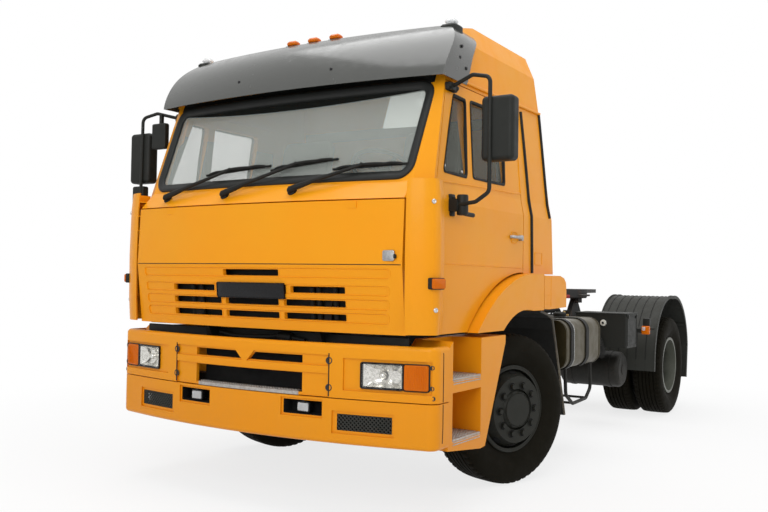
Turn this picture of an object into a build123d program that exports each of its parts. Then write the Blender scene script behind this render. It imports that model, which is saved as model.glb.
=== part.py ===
from build123d import *
import os
from math import cos, radians, sin

# Two-axle cab-over tractor unit that pulls a semi-trailer, in millimetres.
# X is across the vehicle (+X is its own left), -Y is forward, +Z is up.
# The origin lies on the ground, at the middle of the vehicle's length.

# ---------------------------------------------------------------- driving sizes
WHEELBASE = 3950
FRONT_OVERHANG = 1590  # front axle to the bumper's foremost point
REAR_OVERHANG = 700  # rear axle to the rearmost point of the mudguards
HALF_WIDTH = 1250
FRONT_AXLE_Y = (FRONT_OVERHANG - WHEELBASE - REAR_OVERHANG) / 2
REAR_AXLE_Y = FRONT_AXLE_Y + WHEELBASE

# wheels and tyres, 295/80 R22.5 under load
TYRE_RADIUS = 516
TYRE_HALF_WIDTH = 149
RIM_FLANGE_RADIUS = 298
RIM_SEAT_RADIUS = 286
RIM_BARREL_RADIUS = 272
RIM_HALF_WIDTH = 120
RIM_FLANGE_THICKNESS = 14
DISC_OFFSET = 167  # rim centre to the disc's bolting face
DISC_THICKNESS = 15
DISC_FACE_RADIUS = 226
HUB_RADIUS = 140
STUD_CIRCLE_RADIUS = 167.5
STUD_COUNT = 10
STUD_RADIUS = 16
STUD_LENGTH = 22
DRUM_RADIUS = 215
DRUM_WALL = 15
FRONT_WHEEL_X = 1025
REAR_OUTER_WHEEL_X = 1091
DUAL_SPACING = 2 * DISC_OFFSET + 1
FIT_GAP = 0.3  # between faces that seat on or in each other

# steering
KINGPIN_X = 875
KINGPIN_RADIUS = 24
KINGPIN_HALF_HEIGHT = 125
REST_STEER_DEG = -20.4  # about +Z, so the front wheels point to the vehicle's right
STEER_ARM_X = 0
STEER_ARM_Y = 200
TIE_ROD_Z = 395
TIE_ROD_RADIUS = 19
SPINDLE_RADIUS = 38

# ladder frame
RAIL_OUTER_X = 430
RAIL_HEIGHT = 270
RAIL_TOP_Z = 1000
RAIL_WEB = 8
RAIL_FLANGE = 75
RAIL_FRONT = -1330  # from the front axle
RAIL_REAR = 640  # from the rear axle

# cab
CAB_FLOOR_Z = 1450
CAB_TOP_Z = 2640
CAB_WALL = 50
FLOOR_THICKNESS = 40
DOOR_THICKNESS = 60
DOOR_GAP = 6
DOOR_REAR_GAP = 10
GLASS_THICKNESS = 6
TILT_PIVOT_Y = -1412  # from the front axle
TILT_PIVOT_Z = 1100
TILT_TUBE_RADIUS = 30

# fifth wheel
FIFTH_WHEEL_LEAD = 550  # ahead of the rear axle
FIFTH_WHEEL_TOP_Z = 1320
FIFTH_WHEEL_PLATE = 40
FIFTH_WHEEL_RADIUS = 450
FIFTH_WHEEL_PIVOT_Z = 1215
KINGPIN_HOLE_RADIUS = 25.9
PIVOT_PIN_RADIUS = 25


def front(y):
    """Distance behind the front axle, as a place along the vehicle."""
    return FRONT_AXLE_Y + y


def rear(y):
    """Distance behind the rear axle, as a place along the vehicle."""
    return REAR_AXLE_Y + y


def across(y):
    """Plane across the vehicle at y; a negative extrude runs rearwards."""
    return Plane.XZ.offset(-y)


def block(x, y, z, mode=Mode.ADD):
    """Box between three pairs of limits, in the part being built."""
    with Locations(((x[0] + x[1]) / 2, (y[0] + y[1]) / 2, (z[0] + z[1]) / 2)):
        Box(x[1] - x[0], y[1] - y[0], z[1] - z[0], mode=mode)


def mirrored(side, x):
    """Pair of limits on one side (+1 left, -1 right), lower one first."""
    return (side * x[0], side * x[1]) if side > 0 else (-x[1], -x[0])


PIECES = {}

# ---------------------------------------------------------------- ladder frame
RAIL_MID_Z = RAIL_TOP_Z - RAIL_HEIGHT / 2
RAIL_INNER_X = RAIL_OUTER_X - RAIL_WEB
# place along the vehicle, depth, bottom z, top z
CROSSMEMBERS = (
    (front(-1290), 80, 780, 960),
    (front(1180), 90, 905, 985),
    (front(2150), 90, 905, 985),
    (rear(-930), 90, 905, 985),
    (rear(RAIL_REAR - 40), 80, 780, 960),
)

with BuildPart() as frame:
    with BuildSketch(across(front(RAIL_FRONT))):
        for side in (-1, 1):
            with Locations((side * (RAIL_OUTER_X - RAIL_WEB / 2), RAIL_MID_Z)):
                Rectangle(RAIL_WEB, RAIL_HEIGHT)
            for edge in (-1, 1):
                flange_z = RAIL_MID_Z + edge * (RAIL_HEIGHT - RAIL_WEB) / 2
                with Locations((side * (RAIL_OUTER_X - RAIL_FLANGE / 2), flange_z)):
                    Rectangle(RAIL_FLANGE, RAIL_WEB)
    extrude(amount=-(rear(RAIL_REAR) - front(RAIL_FRONT)))
    for place, depth, low, high in CROSSMEMBERS:
        limits = (place - depth / 2, place + depth / 2)
        block((-RAIL_INNER_X - 2, RAIL_INNER_X + 2), limits, (low, high))
PIECES["frame"] = frame

# ---------------------------------------------------------------- axles and springs
EYE_RADIUS = 46
EYE_HALF_HEIGHT = 62
BEAM_DROP = 90
BEAM_HALF_DEPTH = 45

with BuildPart() as front_axle:
    with BuildSketch(across(front(-BEAM_HALF_DEPTH))) as beam:
        with BuildLine():
            Polyline(
                (-KINGPIN_X, TYRE_RADIUS - 38),
                (-700, TYRE_RADIUS - 38),
                (-560, TYRE_RADIUS - BEAM_DROP - 55),
                (560, TYRE_RADIUS - BEAM_DROP - 55),
                (700, TYRE_RADIUS - 38),
                (KINGPIN_X, TYRE_RADIUS - 38),
                (KINGPIN_X, TYRE_RADIUS + 38),
                (680, TYRE_RADIUS + 38),
                (540, TYRE_RADIUS - BEAM_DROP + 45),
                (-540, TYRE_RADIUS - BEAM_DROP + 45),
                (-680, TYRE_RADIUS + 38),
                (-KINGPIN_X, TYRE_RADIUS + 38),
                close=True,
            )
        make_face()
    extrude(amount=-2 * BEAM_HALF_DEPTH)
    with Locations(
        (-KINGPIN_X, front(0), TYRE_RADIUS), (KINGPIN_X, front(0), TYRE_RADIUS)
    ):
        Cylinder(EYE_RADIUS, 2 * EYE_HALF_HEIGHT)
        Cylinder(KINGPIN_RADIUS + FIT_GAP, 3 * EYE_HALF_HEIGHT, mode=Mode.SUBTRACT)
PIECES["front_axle"] = front_axle

AXLE_TUBE_RADIUS = 68
REAR_SPINDLE_RADIUS = 55
DIFFERENTIAL_RADIUS = 205
REAR_SPINDLE_END = REAR_OUTER_WHEEL_X - DISC_OFFSET + 60
REAR_DRUM_INNER_X = 560

with BuildPart() as rear_axle:
    with BuildSketch(Plane.XY.offset(TYRE_RADIUS)):
        with BuildLine():
            Polyline(
                (-REAR_SPINDLE_END, rear(0)),
                (-REAR_SPINDLE_END, rear(REAR_SPINDLE_RADIUS)),
                (-REAR_DRUM_INNER_X - 40, rear(REAR_SPINDLE_RADIUS)),
                (-REAR_DRUM_INNER_X - 40, rear(AXLE_TUBE_RADIUS)),
                (-230, rear(AXLE_TUBE_RADIUS)),
                (-110, rear(DIFFERENTIAL_RADIUS)),
                (110, rear(DIFFERENTIAL_RADIUS)),
                (230, rear(AXLE_TUBE_RADIUS)),
                (REAR_DRUM_INNER_X + 40, rear(AXLE_TUBE_RADIUS)),
                (REAR_DRUM_INNER_X + 40, rear(REAR_SPINDLE_RADIUS)),
                (REAR_SPINDLE_END, rear(REAR_SPINDLE_RADIUS)),
                (REAR_SPINDLE_END, rear(0)),
                close=True,
            )
        make_face()
    revolve(axis=Axis((0, rear(0), TYRE_RADIUS), (1, 0, 0)))
    with Locations(Location((0, rear(-250), TYRE_RADIUS), (90, 0, 0))):
        Cylinder(95, 160)
PIECES["rear_axle"] = rear_axle

SPRING_WIDTH = 80
SPRING_THICKNESS = 48
# x of the leaf pack, middle along the vehicle, half length, z at the middle, z at the
# ends, z where the hangers meet the frame
SPRINGS = (
    (388, front(0), 760, 495.3, 660, RAIL_TOP_Z - RAIL_HEIGHT),
    (475, rear(0), 600, 608.3, 790, RAIL_TOP_Z - RAIL_HEIGHT + 150),
)

with BuildPart() as leaf_springs:
    for x, middle, half, low, high, hanger_top in SPRINGS:
        for side in (-1, 1):
            with BuildSketch(Plane.YZ.offset(side * x - SPRING_WIDTH / 2)):
                with BuildLine():
                    ThreePointArc((middle - half, high), (middle, low), (middle + half, high))
                trace(line_width=SPRING_THICKNESS)
            extrude(amount=SPRING_WIDTH)
            for end in (-1, 1):
                place = middle + end * half
                limits = (side * x - SPRING_WIDTH / 2, side * x + SPRING_WIDTH / 2)
                block(limits, (place - 40, place + 40), (high - 20, hanger_top))
PIECES["leaf_springs"] = leaf_springs

# ---------------------------------------------------------------- engine and driveline
ENGINE_HALF_WIDTH = 345
ENGINE_REAR = 250
ENGINE_FRONT = -950

with BuildPart() as engine_block:
    block(
        (-ENGINE_HALF_WIDTH, ENGINE_HALF_WIDTH),
        (front(ENGINE_FRONT), front(ENGINE_REAR)),
        (660, 1395),
    )
    for foot in (ENGINE_FRONT + 100, ENGINE_REAR - 100):
        block(
            (-RAIL_INNER_X, RAIL_INNER_X),
            (front(foot - 50), front(foot + 50)),
            (800, 920),
        )
PIECES["engine_block"] = engine_block

GEARBOX_LENGTH = 800
SHAFT_RADIUS = 52
GEARBOX_OUTPUT_Z = 800

with BuildPart() as driveline:
    with BuildSketch(across(front(ENGINE_REAR))):
        with Locations((0, 890)):
            Circle(235)
    with BuildSketch(across(front(ENGINE_REAR + GEARBOX_LENGTH))):
        with Locations((0, GEARBOX_OUTPUT_Z)):
            Circle(90)
    loft()
    gearbox_end = Vector(0, front(ENGINE_REAR + GEARBOX_LENGTH) - 20, GEARBOX_OUTPUT_Z)
    pinion = Vector(0, rear(-320), TYRE_RADIUS)
    shaft_axis = (pinion - gearbox_end).normalized()
    with BuildSketch(Plane(origin=gearbox_end, z_dir=shaft_axis)):
        Circle(SHAFT_RADIUS)
    extrude(amount=(pinion - gearbox_end).length)
    add(rear_axle.part, mode=Mode.SUBTRACT)
PIECES["driveline"] = driveline

with BuildPart() as radiator:
    block((-330, 330), (front(-1190), front(-1085)), (700, RAIL_TOP_Z + 20))
    block((-450, 450), (front(-1190), front(-1085)), (RAIL_TOP_Z, 1380))
PIECES["radiator"] = radiator

# ---------------------------------------------------------------- wheels
TYRE_BEAD_HALF = RIM_HALF_WIDTH - RIM_FLANGE_THICKNESS - FIT_GAP


class WheelPlace:
    """Centre and outward axle direction of one wheel, with its radial sketch plane."""

    def __init__(self, x, y, turn):
        side = 1 if x > 0 else -1
        self.axle = Vector(side * cos(radians(turn)), side * sin(radians(turn)), 0)
        self.centre = Vector(x, y, TYRE_RADIUS)
        up = Vector(0, 0, 1)
        self.radial = Plane(origin=self.centre, x_dir=up, z_dir=up.cross(self.axle))
        self.axis = Axis(self.centre, self.axle)

    def facing(self, along):
        """Plane square to the axle, that far outboard of the wheel's centre."""
        return Plane(origin=self.centre + self.axle * along, z_dir=self.axle)


# tyre section from bead to crown: radius and distance from the tyre's middle
TYRE_SECTION = (
    (RIM_SEAT_RADIUS + FIT_GAP, TYRE_BEAD_HALF),
    (RIM_FLANGE_RADIUS + 3, TYRE_BEAD_HALF),
    (405, TYRE_HALF_WIDTH),
    (TYRE_RADIUS - 26, TYRE_HALF_WIDTH - 14),
    (TYRE_RADIUS, TYRE_HALF_WIDTH - 52),
)


def tyre_ring(place, along):
    """Tyre: flat crown, bevelled shoulders and bulged sidewalls down to the beads."""
    with BuildSketch(place.radial) as section:
        with BuildLine():
            outboard = [(radius, along + half) for radius, half in TYRE_SECTION]
            inboard = [(radius, along - half) for radius, half in reversed(TYRE_SECTION)]
            Polyline(*outboard, *inboard, close=True)
        make_face()
    revolve(section.sketch, axis=place.axis)


def rim_with_disc(place, along, face):
    """Drop-in rim and dished disc; face is +1 for an outboard face, -1 inboard."""
    inner_flange = RIM_HALF_WIDTH - RIM_FLANGE_THICKNESS
    with BuildSketch(place.radial) as section:
        with BuildLine():
            Polyline(
                (RIM_BARREL_RADIUS, along - RIM_HALF_WIDTH),
                (RIM_FLANGE_RADIUS, along - RIM_HALF_WIDTH),
                (RIM_FLANGE_RADIUS, along - inner_flange),
                (RIM_SEAT_RADIUS, along - inner_flange),
                (RIM_SEAT_RADIUS, along + inner_flange),
                (RIM_FLANGE_RADIUS, along + inner_flange),
                (RIM_FLANGE_RADIUS, along + RIM_HALF_WIDTH),
                (RIM_BARREL_RADIUS, along + RIM_HALF_WIDTH),
                close=True,
            )
        make_face()
        with BuildLine():
            Polyline(
                (RIM_BARREL_RADIUS + 2, along + face * 40),
                (RIM_BARREL_RADIUS + 2, along + face * 72),
                (DISC_FACE_RADIUS, along + face * DISC_OFFSET),
                (HUB_RADIUS - 1, along + face * DISC_OFFSET),
                (HUB_RADIUS - 1, along + face * (DISC_OFFSET - DISC_THICKNESS)),
                (DISC_FACE_RADIUS - 10, along + face * (DISC_OFFSET - DISC_THICKNESS)),
                close=True,
            )
        make_face()
    revolve(section.sketch, axis=place.axis)


def hub_and_drum(place, bore, inner, outer, drum_inner, drum_outer):
    """Hub sleeve on its spindle, closed at the outer end, with the brake drum."""
    with BuildSketch(place.radial) as section:
        with BuildLine():
            Polyline(
                (0, outer),
                (HUB_RADIUS - 30, outer),
                (HUB_RADIUS, outer - 30),
                (HUB_RADIUS, drum_outer),
                (DRUM_RADIUS, drum_outer),
                (DRUM_RADIUS, drum_inner),
                (DRUM_RADIUS - DRUM_WALL, drum_inner),
                (DRUM_RADIUS - DRUM_WALL, drum_outer - DRUM_WALL),
                (bore + 40, drum_outer - DRUM_WALL),
                (bore + 40, inner),
                (bore, inner),
                (bore, outer - 45),
                (0, outer - 45),
                close=True,
            )
        make_face()
    revolve(section.sketch, axis=place.axis)


def studs(place, along, length):
    """Ring of wheel studs with nuts on the disc's bolting face."""
    with BuildSketch(place.facing(along)) as ring:
        with PolarLocations(STUD_CIRCLE_RADIUS, STUD_COUNT):
            Circle(STUD_RADIUS)
    extrude(ring.sketch, amount=length)


WHEEL_PLACES = {
    "front_left": WheelPlace(KINGPIN_X, front(0), REST_STEER_DEG),
    "front_right": WheelPlace(-KINGPIN_X, front(0), REST_STEER_DEG),
    "rear_left": WheelPlace(REAR_OUTER_WHEEL_X, rear(0), 0),
    "rear_right": WheelPlace(-REAR_OUTER_WHEEL_X, rear(0), 0),
}
FRONT_WHEEL_ALONG = FRONT_WHEEL_X - KINGPIN_X
DRUM_INNER = FRONT_WHEEL_ALONG - 85
DRUM_OUTER = FRONT_WHEEL_ALONG + DISC_OFFSET - DISC_THICKNESS

for name, place in WHEEL_PLACES.items():
    if name.startswith("front"):
        with BuildPart() as tyre:
            tyre_ring(place, FRONT_WHEEL_ALONG)
        with BuildPart() as wheel:
            rim_with_disc(place, FRONT_WHEEL_ALONG, 1)
            hub_and_drum(
                place,
                SPINDLE_RADIUS + FIT_GAP,
                DRUM_INNER + 20,
                DRUM_OUTER + DISC_THICKNESS + 12,
                DRUM_INNER,
                DRUM_OUTER,
            )
            studs(place, FRONT_WHEEL_ALONG + DISC_OFFSET - 1, STUD_LENGTH)
    else:
        with BuildPart() as tyre:
            tyre_ring(place, 0)
            tyre_ring(place, -DUAL_SPACING)
        with BuildPart() as wheel:
            rim_with_disc(place, 0, -1)
            rim_with_disc(place, -DUAL_SPACING, 1)
            hub_and_drum(
                place,
                REAR_SPINDLE_RADIUS + FIT_GAP,
                -DUAL_SPACING - 40,
                -DISC_OFFSET + 150,
                -DUAL_SPACING - 90,
                -DISC_OFFSET - DISC_THICKNESS,
            )
            studs(place, -DISC_OFFSET + DISC_THICKNESS - 1, STUD_LENGTH)
    PIECES["tyre_" + name] = tyre
    PIECES["wheel_" + name] = wheel

# ---------------------------------------------------------------- steering knuckles
EAR_THICKNESS = 36
EAR_Z = EYE_HALF_HEIGHT + 2 + EAR_THICKNESS / 2
KNUCKLE_PLATE = (52, 62)  # outboard of the kingpin

for name, side in (("left", 1), ("right", -1)):
    turned = Plane(
        origin=(side * KINGPIN_X, front(0), TYRE_RADIUS),
        x_dir=(cos(radians(REST_STEER_DEG)), sin(radians(REST_STEER_DEG)), 0),
        z_dir=(0, 0, 1),
    )
    with BuildPart(turned) as knuckle:
        Cylinder(KINGPIN_RADIUS, 2 * KINGPIN_HALF_HEIGHT)
        for edge in (-1, 1):
            limits = (edge * EAR_Z - EAR_THICKNESS / 2, edge * EAR_Z + EAR_THICKNESS / 2)
            block(mirrored(side, (-38, KNUCKLE_PLATE[1])), (-50, 50), limits)
        block(mirrored(side, KNUCKLE_PLATE), (-60, 60), (-EAR_Z - 18, EAR_Z + 18))
        with Locations(Location((side * (KNUCKLE_PLATE[0] + 110), 0, 0), (0, 90, 0))):
            Cylinder(SPINDLE_RADIUS, 220)
        arm_top = TIE_ROD_Z - TYRE_RADIUS + 46
        with BuildSketch(Plane(turned.origin, turned.x_dir, turned.z_dir).offset(arm_top)):
            with BuildLine():
                Polyline(
                    (side * 30, 10),
                    (side * (STEER_ARM_X + 26), STEER_ARM_Y + 22),
                    (side * (STEER_ARM_X - 26), STEER_ARM_Y + 22),
                    (side * (STEER_ARM_X - 26), STEER_ARM_Y - 26),
                    (side * -36, 10),
                    close=True,
                )
            make_face()
        extrude(amount=-24)
        block((-30, 30), (-30, 40), (arm_top - 24, -EAR_Z))
        with Locations((side * STEER_ARM_X, STEER_ARM_Y, arm_top - 46)):
            Cylinder(11, 46)
    PIECES["knuckle_" + name] = knuckle

rod_ends = []
for side in (-1, 1):
    angle = radians(REST_STEER_DEG)
    arm = (side * STEER_ARM_X, STEER_ARM_Y)
    rod_ends.append(
        Vector(
            side * KINGPIN_X + arm[0] * cos(angle) - arm[1] * sin(angle),
            front(0) + arm[0] * sin(angle) + arm[1] * cos(angle),
            TIE_ROD_Z,
        )
    )

with BuildPart() as tie_rod:
    rod_length = (rod_ends[1] - rod_ends[0]).length
    with BuildSketch(Plane(origin=rod_ends[0], z_dir=rod_ends[1] - rod_ends[0])):
        Circle(TIE_ROD_RADIUS)
    extrude(amount=rod_length)
    with Locations(rod_ends[0], rod_ends[1]):
        Cylinder(30, 40)
        Cylinder(11 + FIT_GAP, 60, mode=Mode.SUBTRACT)
PIECES["tie_rod"] = tie_rod

# ---------------------------------------------------------------- cab body
# Plan of the cab at several heights: z, x and y of the front corner, y of the bowed
# front's middle, x of the side, y where the side starts and y of the rear wall
CAB_SECTIONS = (
    (1450, 1050, -1450, -1520, 1170, -1330, 545),
    (1853, 1050, -1440, -1510, 1170, -1330, 508),
    (1857, 1056, -1474, -1544, 1170, -1330, 507),
    (1965, 1050, -1371, -1441, 1150, -1300, 500),
    (2640, 1070, -1092, -1160, 1100, -1085, 400),
)


def cab_volume(inset, floor=0, top=0):
    """Closed cab form, moved in by inset; floor and top shorten or lengthen it."""
    sections = []
    for index, row in enumerate(CAB_SECTIONS):
        z, corner_x, corner_y, middle_y, side_x, side_y, rear_y = row
        z += floor if index == 0 else 0
        z += top if index == len(CAB_SECTIONS) - 1 else 0
        with BuildSketch(Plane.XY.offset(z)) as section:
            with BuildLine():
                corner = (corner_x - inset, front(corner_y + inset))
                shoulder = (side_x - inset, front(side_y + inset * 0.5))
                back = (side_x - inset, front(rear_y - inset))
                ThreePointArc(
                    (-corner[0], corner[1]), (0, front(middle_y + inset)), corner
                )
                Polyline(
                    corner,
                    shoulder,
                    back,
                    (-back[0], back[1]),
                    (-shoulder[0], shoulder[1]),
                    (-corner[0], corner[1]),
                )
            make_face()
        sections.append(section.sketch)
    loft(sections, ruled=True)


def cab_solid(inset, floor=0, top=0):
    """The same cab form as a finished solid, to cut or to trim other pieces with."""
    with BuildPart(mode=Mode.PRIVATE) as form:
        cab_volume(inset, floor, top)
    return form.part


# side view of the door, from the front axle: front edge, head, rear edge, arch curve
DOOR_BOTTOM_Z = 1080
DOOR_TOP_Z = 2597
DOOR_FRONT = -1268
DOOR_REAR = -36
DOOR_SPLIT_Z = 1485
DOOR_HINGE_ZS = (1580, 1880)
DOOR_HINGE_X = (1121, 1148)


def door_outline(grow, grow_rear, bottom):
    """Side view of the door leaf, made larger all round by grow."""
    with BuildSketch(Plane.XY) as leaf:
        with BuildLine():
            Polyline(
                (front(DOOR_FRONT - grow), bottom),
                (front(DOOR_FRONT - grow), 1960),
                (front(-1078 - grow), DOOR_TOP_Z + grow),
                (front(-72 + grow_rear), DOOR_TOP_Z + grow),
                (front(DOOR_REAR + grow_rear), 1960),
                (front(DOOR_REAR + grow_rear), bottom),
                close=True,
            )
        make_face()
    return leaf.sketch


# side views of the two panes in each door: y and z of the corners
QUARTER_PANE = ((-1180, 2035), (-868, 2030), (-834, 2520), (-1000, 2525))
MAIN_PANE = ((-785, 2035), (-300, 2040), (-262, 2530), (-768, 2528))


def pane_outline(corners, shrink, radius):
    """Rounded four-sided pane in side view, drawn in by shrink on every edge."""
    with BuildSketch(Plane.XY) as pane:
        with BuildLine():
            Polyline(*[(front(y), z) for y, z in corners], close=True)
        make_face()
        fillet(pane.vertices(), radius)
        if shrink:
            offset(amount=-shrink, mode=Mode.REPLACE)
    return pane.sketch


SCREEN_BOTTOM_Z = 2003
SCREEN_TOP_Z = 2572
SCREEN_BOTTOM_HALF = 1010
SCREEN_TOP_HALF = 1030
SCREEN_CORNER_RADIUS = 70


def screen_outline(shrink):
    """Front view of the windscreen opening, drawn in by shrink."""
    with BuildSketch(Plane.XY) as opening:
        with BuildLine():
            Polyline(
                (-SCREEN_BOTTOM_HALF + shrink, SCREEN_BOTTOM_Z + shrink),
                (SCREEN_BOTTOM_HALF - shrink, SCREEN_BOTTOM_Z + shrink),
                (SCREEN_TOP_HALF - shrink, SCREEN_TOP_Z - shrink),
                (-SCREEN_TOP_HALF + shrink, SCREEN_TOP_Z - shrink),
                close=True,
            )
        make_face()
        fillet(opening.vertices(), SCREEN_CORNER_RADIUS)
    return opening.sketch


with BuildPart() as cab_shell:
    cab_volume(0)
    add(cab_solid(CAB_WALL, FLOOR_THICKNESS, 1), mode=Mode.SUBTRACT)
    with BuildSketch(Plane.YZ.offset(-HALF_WIDTH)):
        add(door_outline(DOOR_GAP, DOOR_REAR_GAP, CAB_FLOOR_Z + FLOOR_THICKNESS))
    extrude(amount=2 * HALF_WIDTH, mode=Mode.SUBTRACT)
    for side in (-1, 1):
        sill = mirrored(side, (CAB_SECTIONS[0][4] - DOOR_THICKNESS - DOOR_GAP, HALF_WIDTH))
        sill_y = (front(DOOR_FRONT - DOOR_GAP), front(DOOR_REAR + DOOR_REAR_GAP))
        block(sill, sill_y, (CAB_FLOOR_Z - 1, CAB_FLOOR_Z + 60), mode=Mode.SUBTRACT)
    with BuildSketch(across(front(-1600))):
        add(screen_outline(0))
    extrude(amount=-900, mode=Mode.SUBTRACT)
    for side in (-1, 1):
        for z in DOOR_HINGE_ZS:
            pad_y = (front(DOOR_FRONT - DOOR_GAP - 12), front(DOOR_FRONT - FIT_GAP))
            block(mirrored(side, DOOR_HINGE_X), pad_y, (z - 30, z + 30))
PIECES["cab_shell"] = cab_shell

with BuildPart() as windscreen:
    cab_volume(12, 0, 0)
    add(cab_solid(12 + GLASS_THICKNESS), mode=Mode.SUBTRACT)
    with BuildSketch(across(front(-1600))):
        add(screen_outline(FIT_GAP))
    extrude(amount=-900, mode=Mode.INTERSECT)
PIECES["windscreen"] = windscreen

for name, side in (("left", 1), ("right", -1)):
    with BuildPart() as door:
        cab_volume(0)
        add(cab_solid(DOOR_THICKNESS), mode=Mode.SUBTRACT)
        with BuildSketch(Plane.YZ.offset(side * 1000)):
            add(door_outline(0, 0, DOOR_SPLIT_Z))
            add(pane_outline(QUARTER_PANE, 0, 30), mode=Mode.SUBTRACT)
            add(pane_outline(MAIN_PANE, 0, 30), mode=Mode.SUBTRACT)
        extrude(amount=side * 300, mode=Mode.INTERSECT)
        with BuildSketch(Plane.YZ.offset(side * 1140)):
            with BuildLine():
                Polyline(
                    (front(-888), DOOR_BOTTOM_Z),
                    (front(DOOR_FRONT), DOOR_BOTTOM_Z),
                    (front(DOOR_FRONT), DOOR_SPLIT_Z),
                    (front(DOOR_REAR), DOOR_SPLIT_Z),
                    (front(DOOR_REAR), 1457),
                )
                ThreePointArc(
                    (front(DOOR_REAR), 1457), (front(-520), 1347), (front(-888), DOOR_BOTTOM_Z)
                )
            make_face()
        extrude(amount=side * 30)
    PIECES["door_" + name] = door
    with BuildPart() as door_glass:
        cab_volume(18)
        add(cab_solid(18 + GLASS_THICKNESS), mode=Mode.SUBTRACT)
        with BuildSketch(Plane.YZ.offset(side * 1000)):
            add(pane_outline(QUARTER_PANE, FIT_GAP, 30))
            add(pane_outline(MAIN_PANE, FIT_GAP, 30))
        extrude(amount=side * 300, mode=Mode.INTERSECT)
    PIECES["door_glass_" + name] = door_glass

# ---------------------------------------------------------------- roof and visor
# side view of the raised roof: y from the front axle and z
ROOF_FRONT = ((-1170, 2640), (-1120, 2740), (-1030, 2880), (-940, 2950))
ROOF_TOP = ((-940, 2950), (-340, 3105), (210, 3185))
ROOF_REAR = ((210, 3185), (318, 3140), (352, 3030))
ROOF_WALL = 25


def roof_volume(inset):
    """Raised roof, side view carried across the cab's width."""
    with BuildSketch(Plane.YZ.offset(-HALF_WIDTH)) as side_view:
        with BuildLine():
            Polyline(*[(front(y + inset), z - (inset if z > 2640 else 1)) for y, z in ROOF_FRONT])
            ThreePointArc(*[(front(y + (inset if y < 0 else -inset)), z - inset) for y, z in ROOF_TOP])
            ThreePointArc(*[(front(y - inset), z - inset) for y, z in ROOF_REAR])
            Polyline(
                (front(352 - inset), 3030 - inset),
                (front(400 - inset), CAB_TOP_Z - (1 if inset else 0)),
                (front(-1170 + inset), CAB_TOP_Z - 1),
            )
        make_face()
    extrude(side_view.sketch, amount=2 * HALF_WIDTH)


def roof_front_view(inset):
    """Front view of the roof: leaning sides, a crease and a crowned top."""
    with BuildSketch(across(front(-1600))) as view:
        with BuildLine():
            low = CAB_TOP_Z - (5 if inset else 0)
            Polyline(
                (1010 - inset, 3060 - inset * 0.7),
                (1072 - inset, 2905),
                (1100 - inset, low),
                (-1100 + inset, low),
                (-1072 + inset, 2905),
                (-1010 + inset, 3060 - inset * 0.7),
            )
            ThreePointArc(
                (-1010 + inset, 3060 - inset * 0.7),
                (-850 + inset, 3140 - inset),
                (-640, 3172 - inset),
            )
            ThreePointArc((-640, 3172 - inset), (0, 3200 - inset), (640, 3172 - inset))
            ThreePointArc(
                (640, 3172 - inset),
                (850 - inset, 3140 - inset),
                (1010 - inset, 3060 - inset * 0.7),
            )
        make_face()
    return view.sketch


def roof_plan(inset):
    """Plan of the roof: bowed front and straight sides."""
    with BuildSketch(Plane.XY.offset(2000)) as plan:
        with BuildLine():
            left = (-1100, front(-1092 + inset))
            right = (1100, front(-1092 + inset))
            ThreePointArc(left, (0, front(-1160 + inset)), right)
            Polyline(right, (1100, front(600)), (-1100, front(600)), left)
        make_face()
    return plan.sketch


def roof_solid(inset):
    """The roof form as a finished solid, moved in by inset."""
    with BuildPart(mode=Mode.PRIVATE) as form:
        roof_volume(inset)
        extrude(roof_front_view(inset), amount=-3000, mode=Mode.INTERSECT)
        extrude(roof_plan(inset), amount=2000, mode=Mode.INTERSECT)
        block((-2000, 2000), (-6000, 6000), (2000, CAB_TOP_Z), mode=Mode.SUBTRACT)
    return form.part


with BuildPart() as roof_fairing:
    add(roof_solid(0))
    add(roof_solid(ROOF_WALL), mode=Mode.SUBTRACT)
    block((-1060, 1060), (front(-1040), front(350)), (CAB_TOP_Z - 5, CAB_TOP_Z + 40), mode=Mode.SUBTRACT)
PIECES["roof_fairing"] = roof_fairing

# visor plan at several heights: z, x and y of the corner, y of the middle, x and y of
# the side's rear end
VISOR_SECTIONS = (
    (2603, 1148, -1206, -1300, 1142, -880),
    (2700, 1154, -1170, -1275, 1146, -845),
    (2834, 1150, -1080, -1195, 1130, -760),
    (2930, 1100, -985, -1085, 1085, -640),
    (2990, 1030, -900, -985, 1030, -600),
)
VISOR_WALL = 8


def visor_volume(inset):
    """Closed form whose skin is the visor."""
    sections = []
    for index, (z, corner_x, corner_y, middle_y, side_x, rear_y) in enumerate(VISOR_SECTIONS):
        z += 2 if index and inset else 0
        z -= 4 if inset and not index else 0
        with BuildSketch(Plane.XY.offset(z)) as section:
            with BuildLine():
                corner = (corner_x - inset, front(corner_y + inset))
                end = (side_x - inset, front(rear_y + 2 * inset))
                ThreePointArc((-corner[0], corner[1]), (0, front(middle_y + inset)), corner)
                Polyline(corner, end, (-end[0], end[1]), (-corner[0], corner[1]))
            make_face()
        sections.append(section.sketch)
    loft(sections)


def visor_solid(inset):
    """The visor's closed form as a finished solid, moved in by inset."""
    with BuildPart(mode=Mode.PRIVATE) as form:
        visor_volume(inset)
    return form.part


with BuildPart() as sun_visor:
    visor_volume(0)
    add(visor_solid(VISOR_WALL), mode=Mode.SUBTRACT)
    add(roof_solid(-FIT_GAP), mode=Mode.SUBTRACT)
PIECES["sun_visor"] = sun_visor

# ---------------------------------------------------------------- front flap and grille
# height, y at the corner and y at the bowed middle of the cab's outer front skin
FRONT_SKIN = ((1078, -1446, -1516), (1476, -1495, -1565), (1849, -1478, -1548))
FRONT_SKIN_HALF = 1060
FRONT_SKIN_THICKNESS = 30
FLAP_HINGE_Z = 1849
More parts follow.
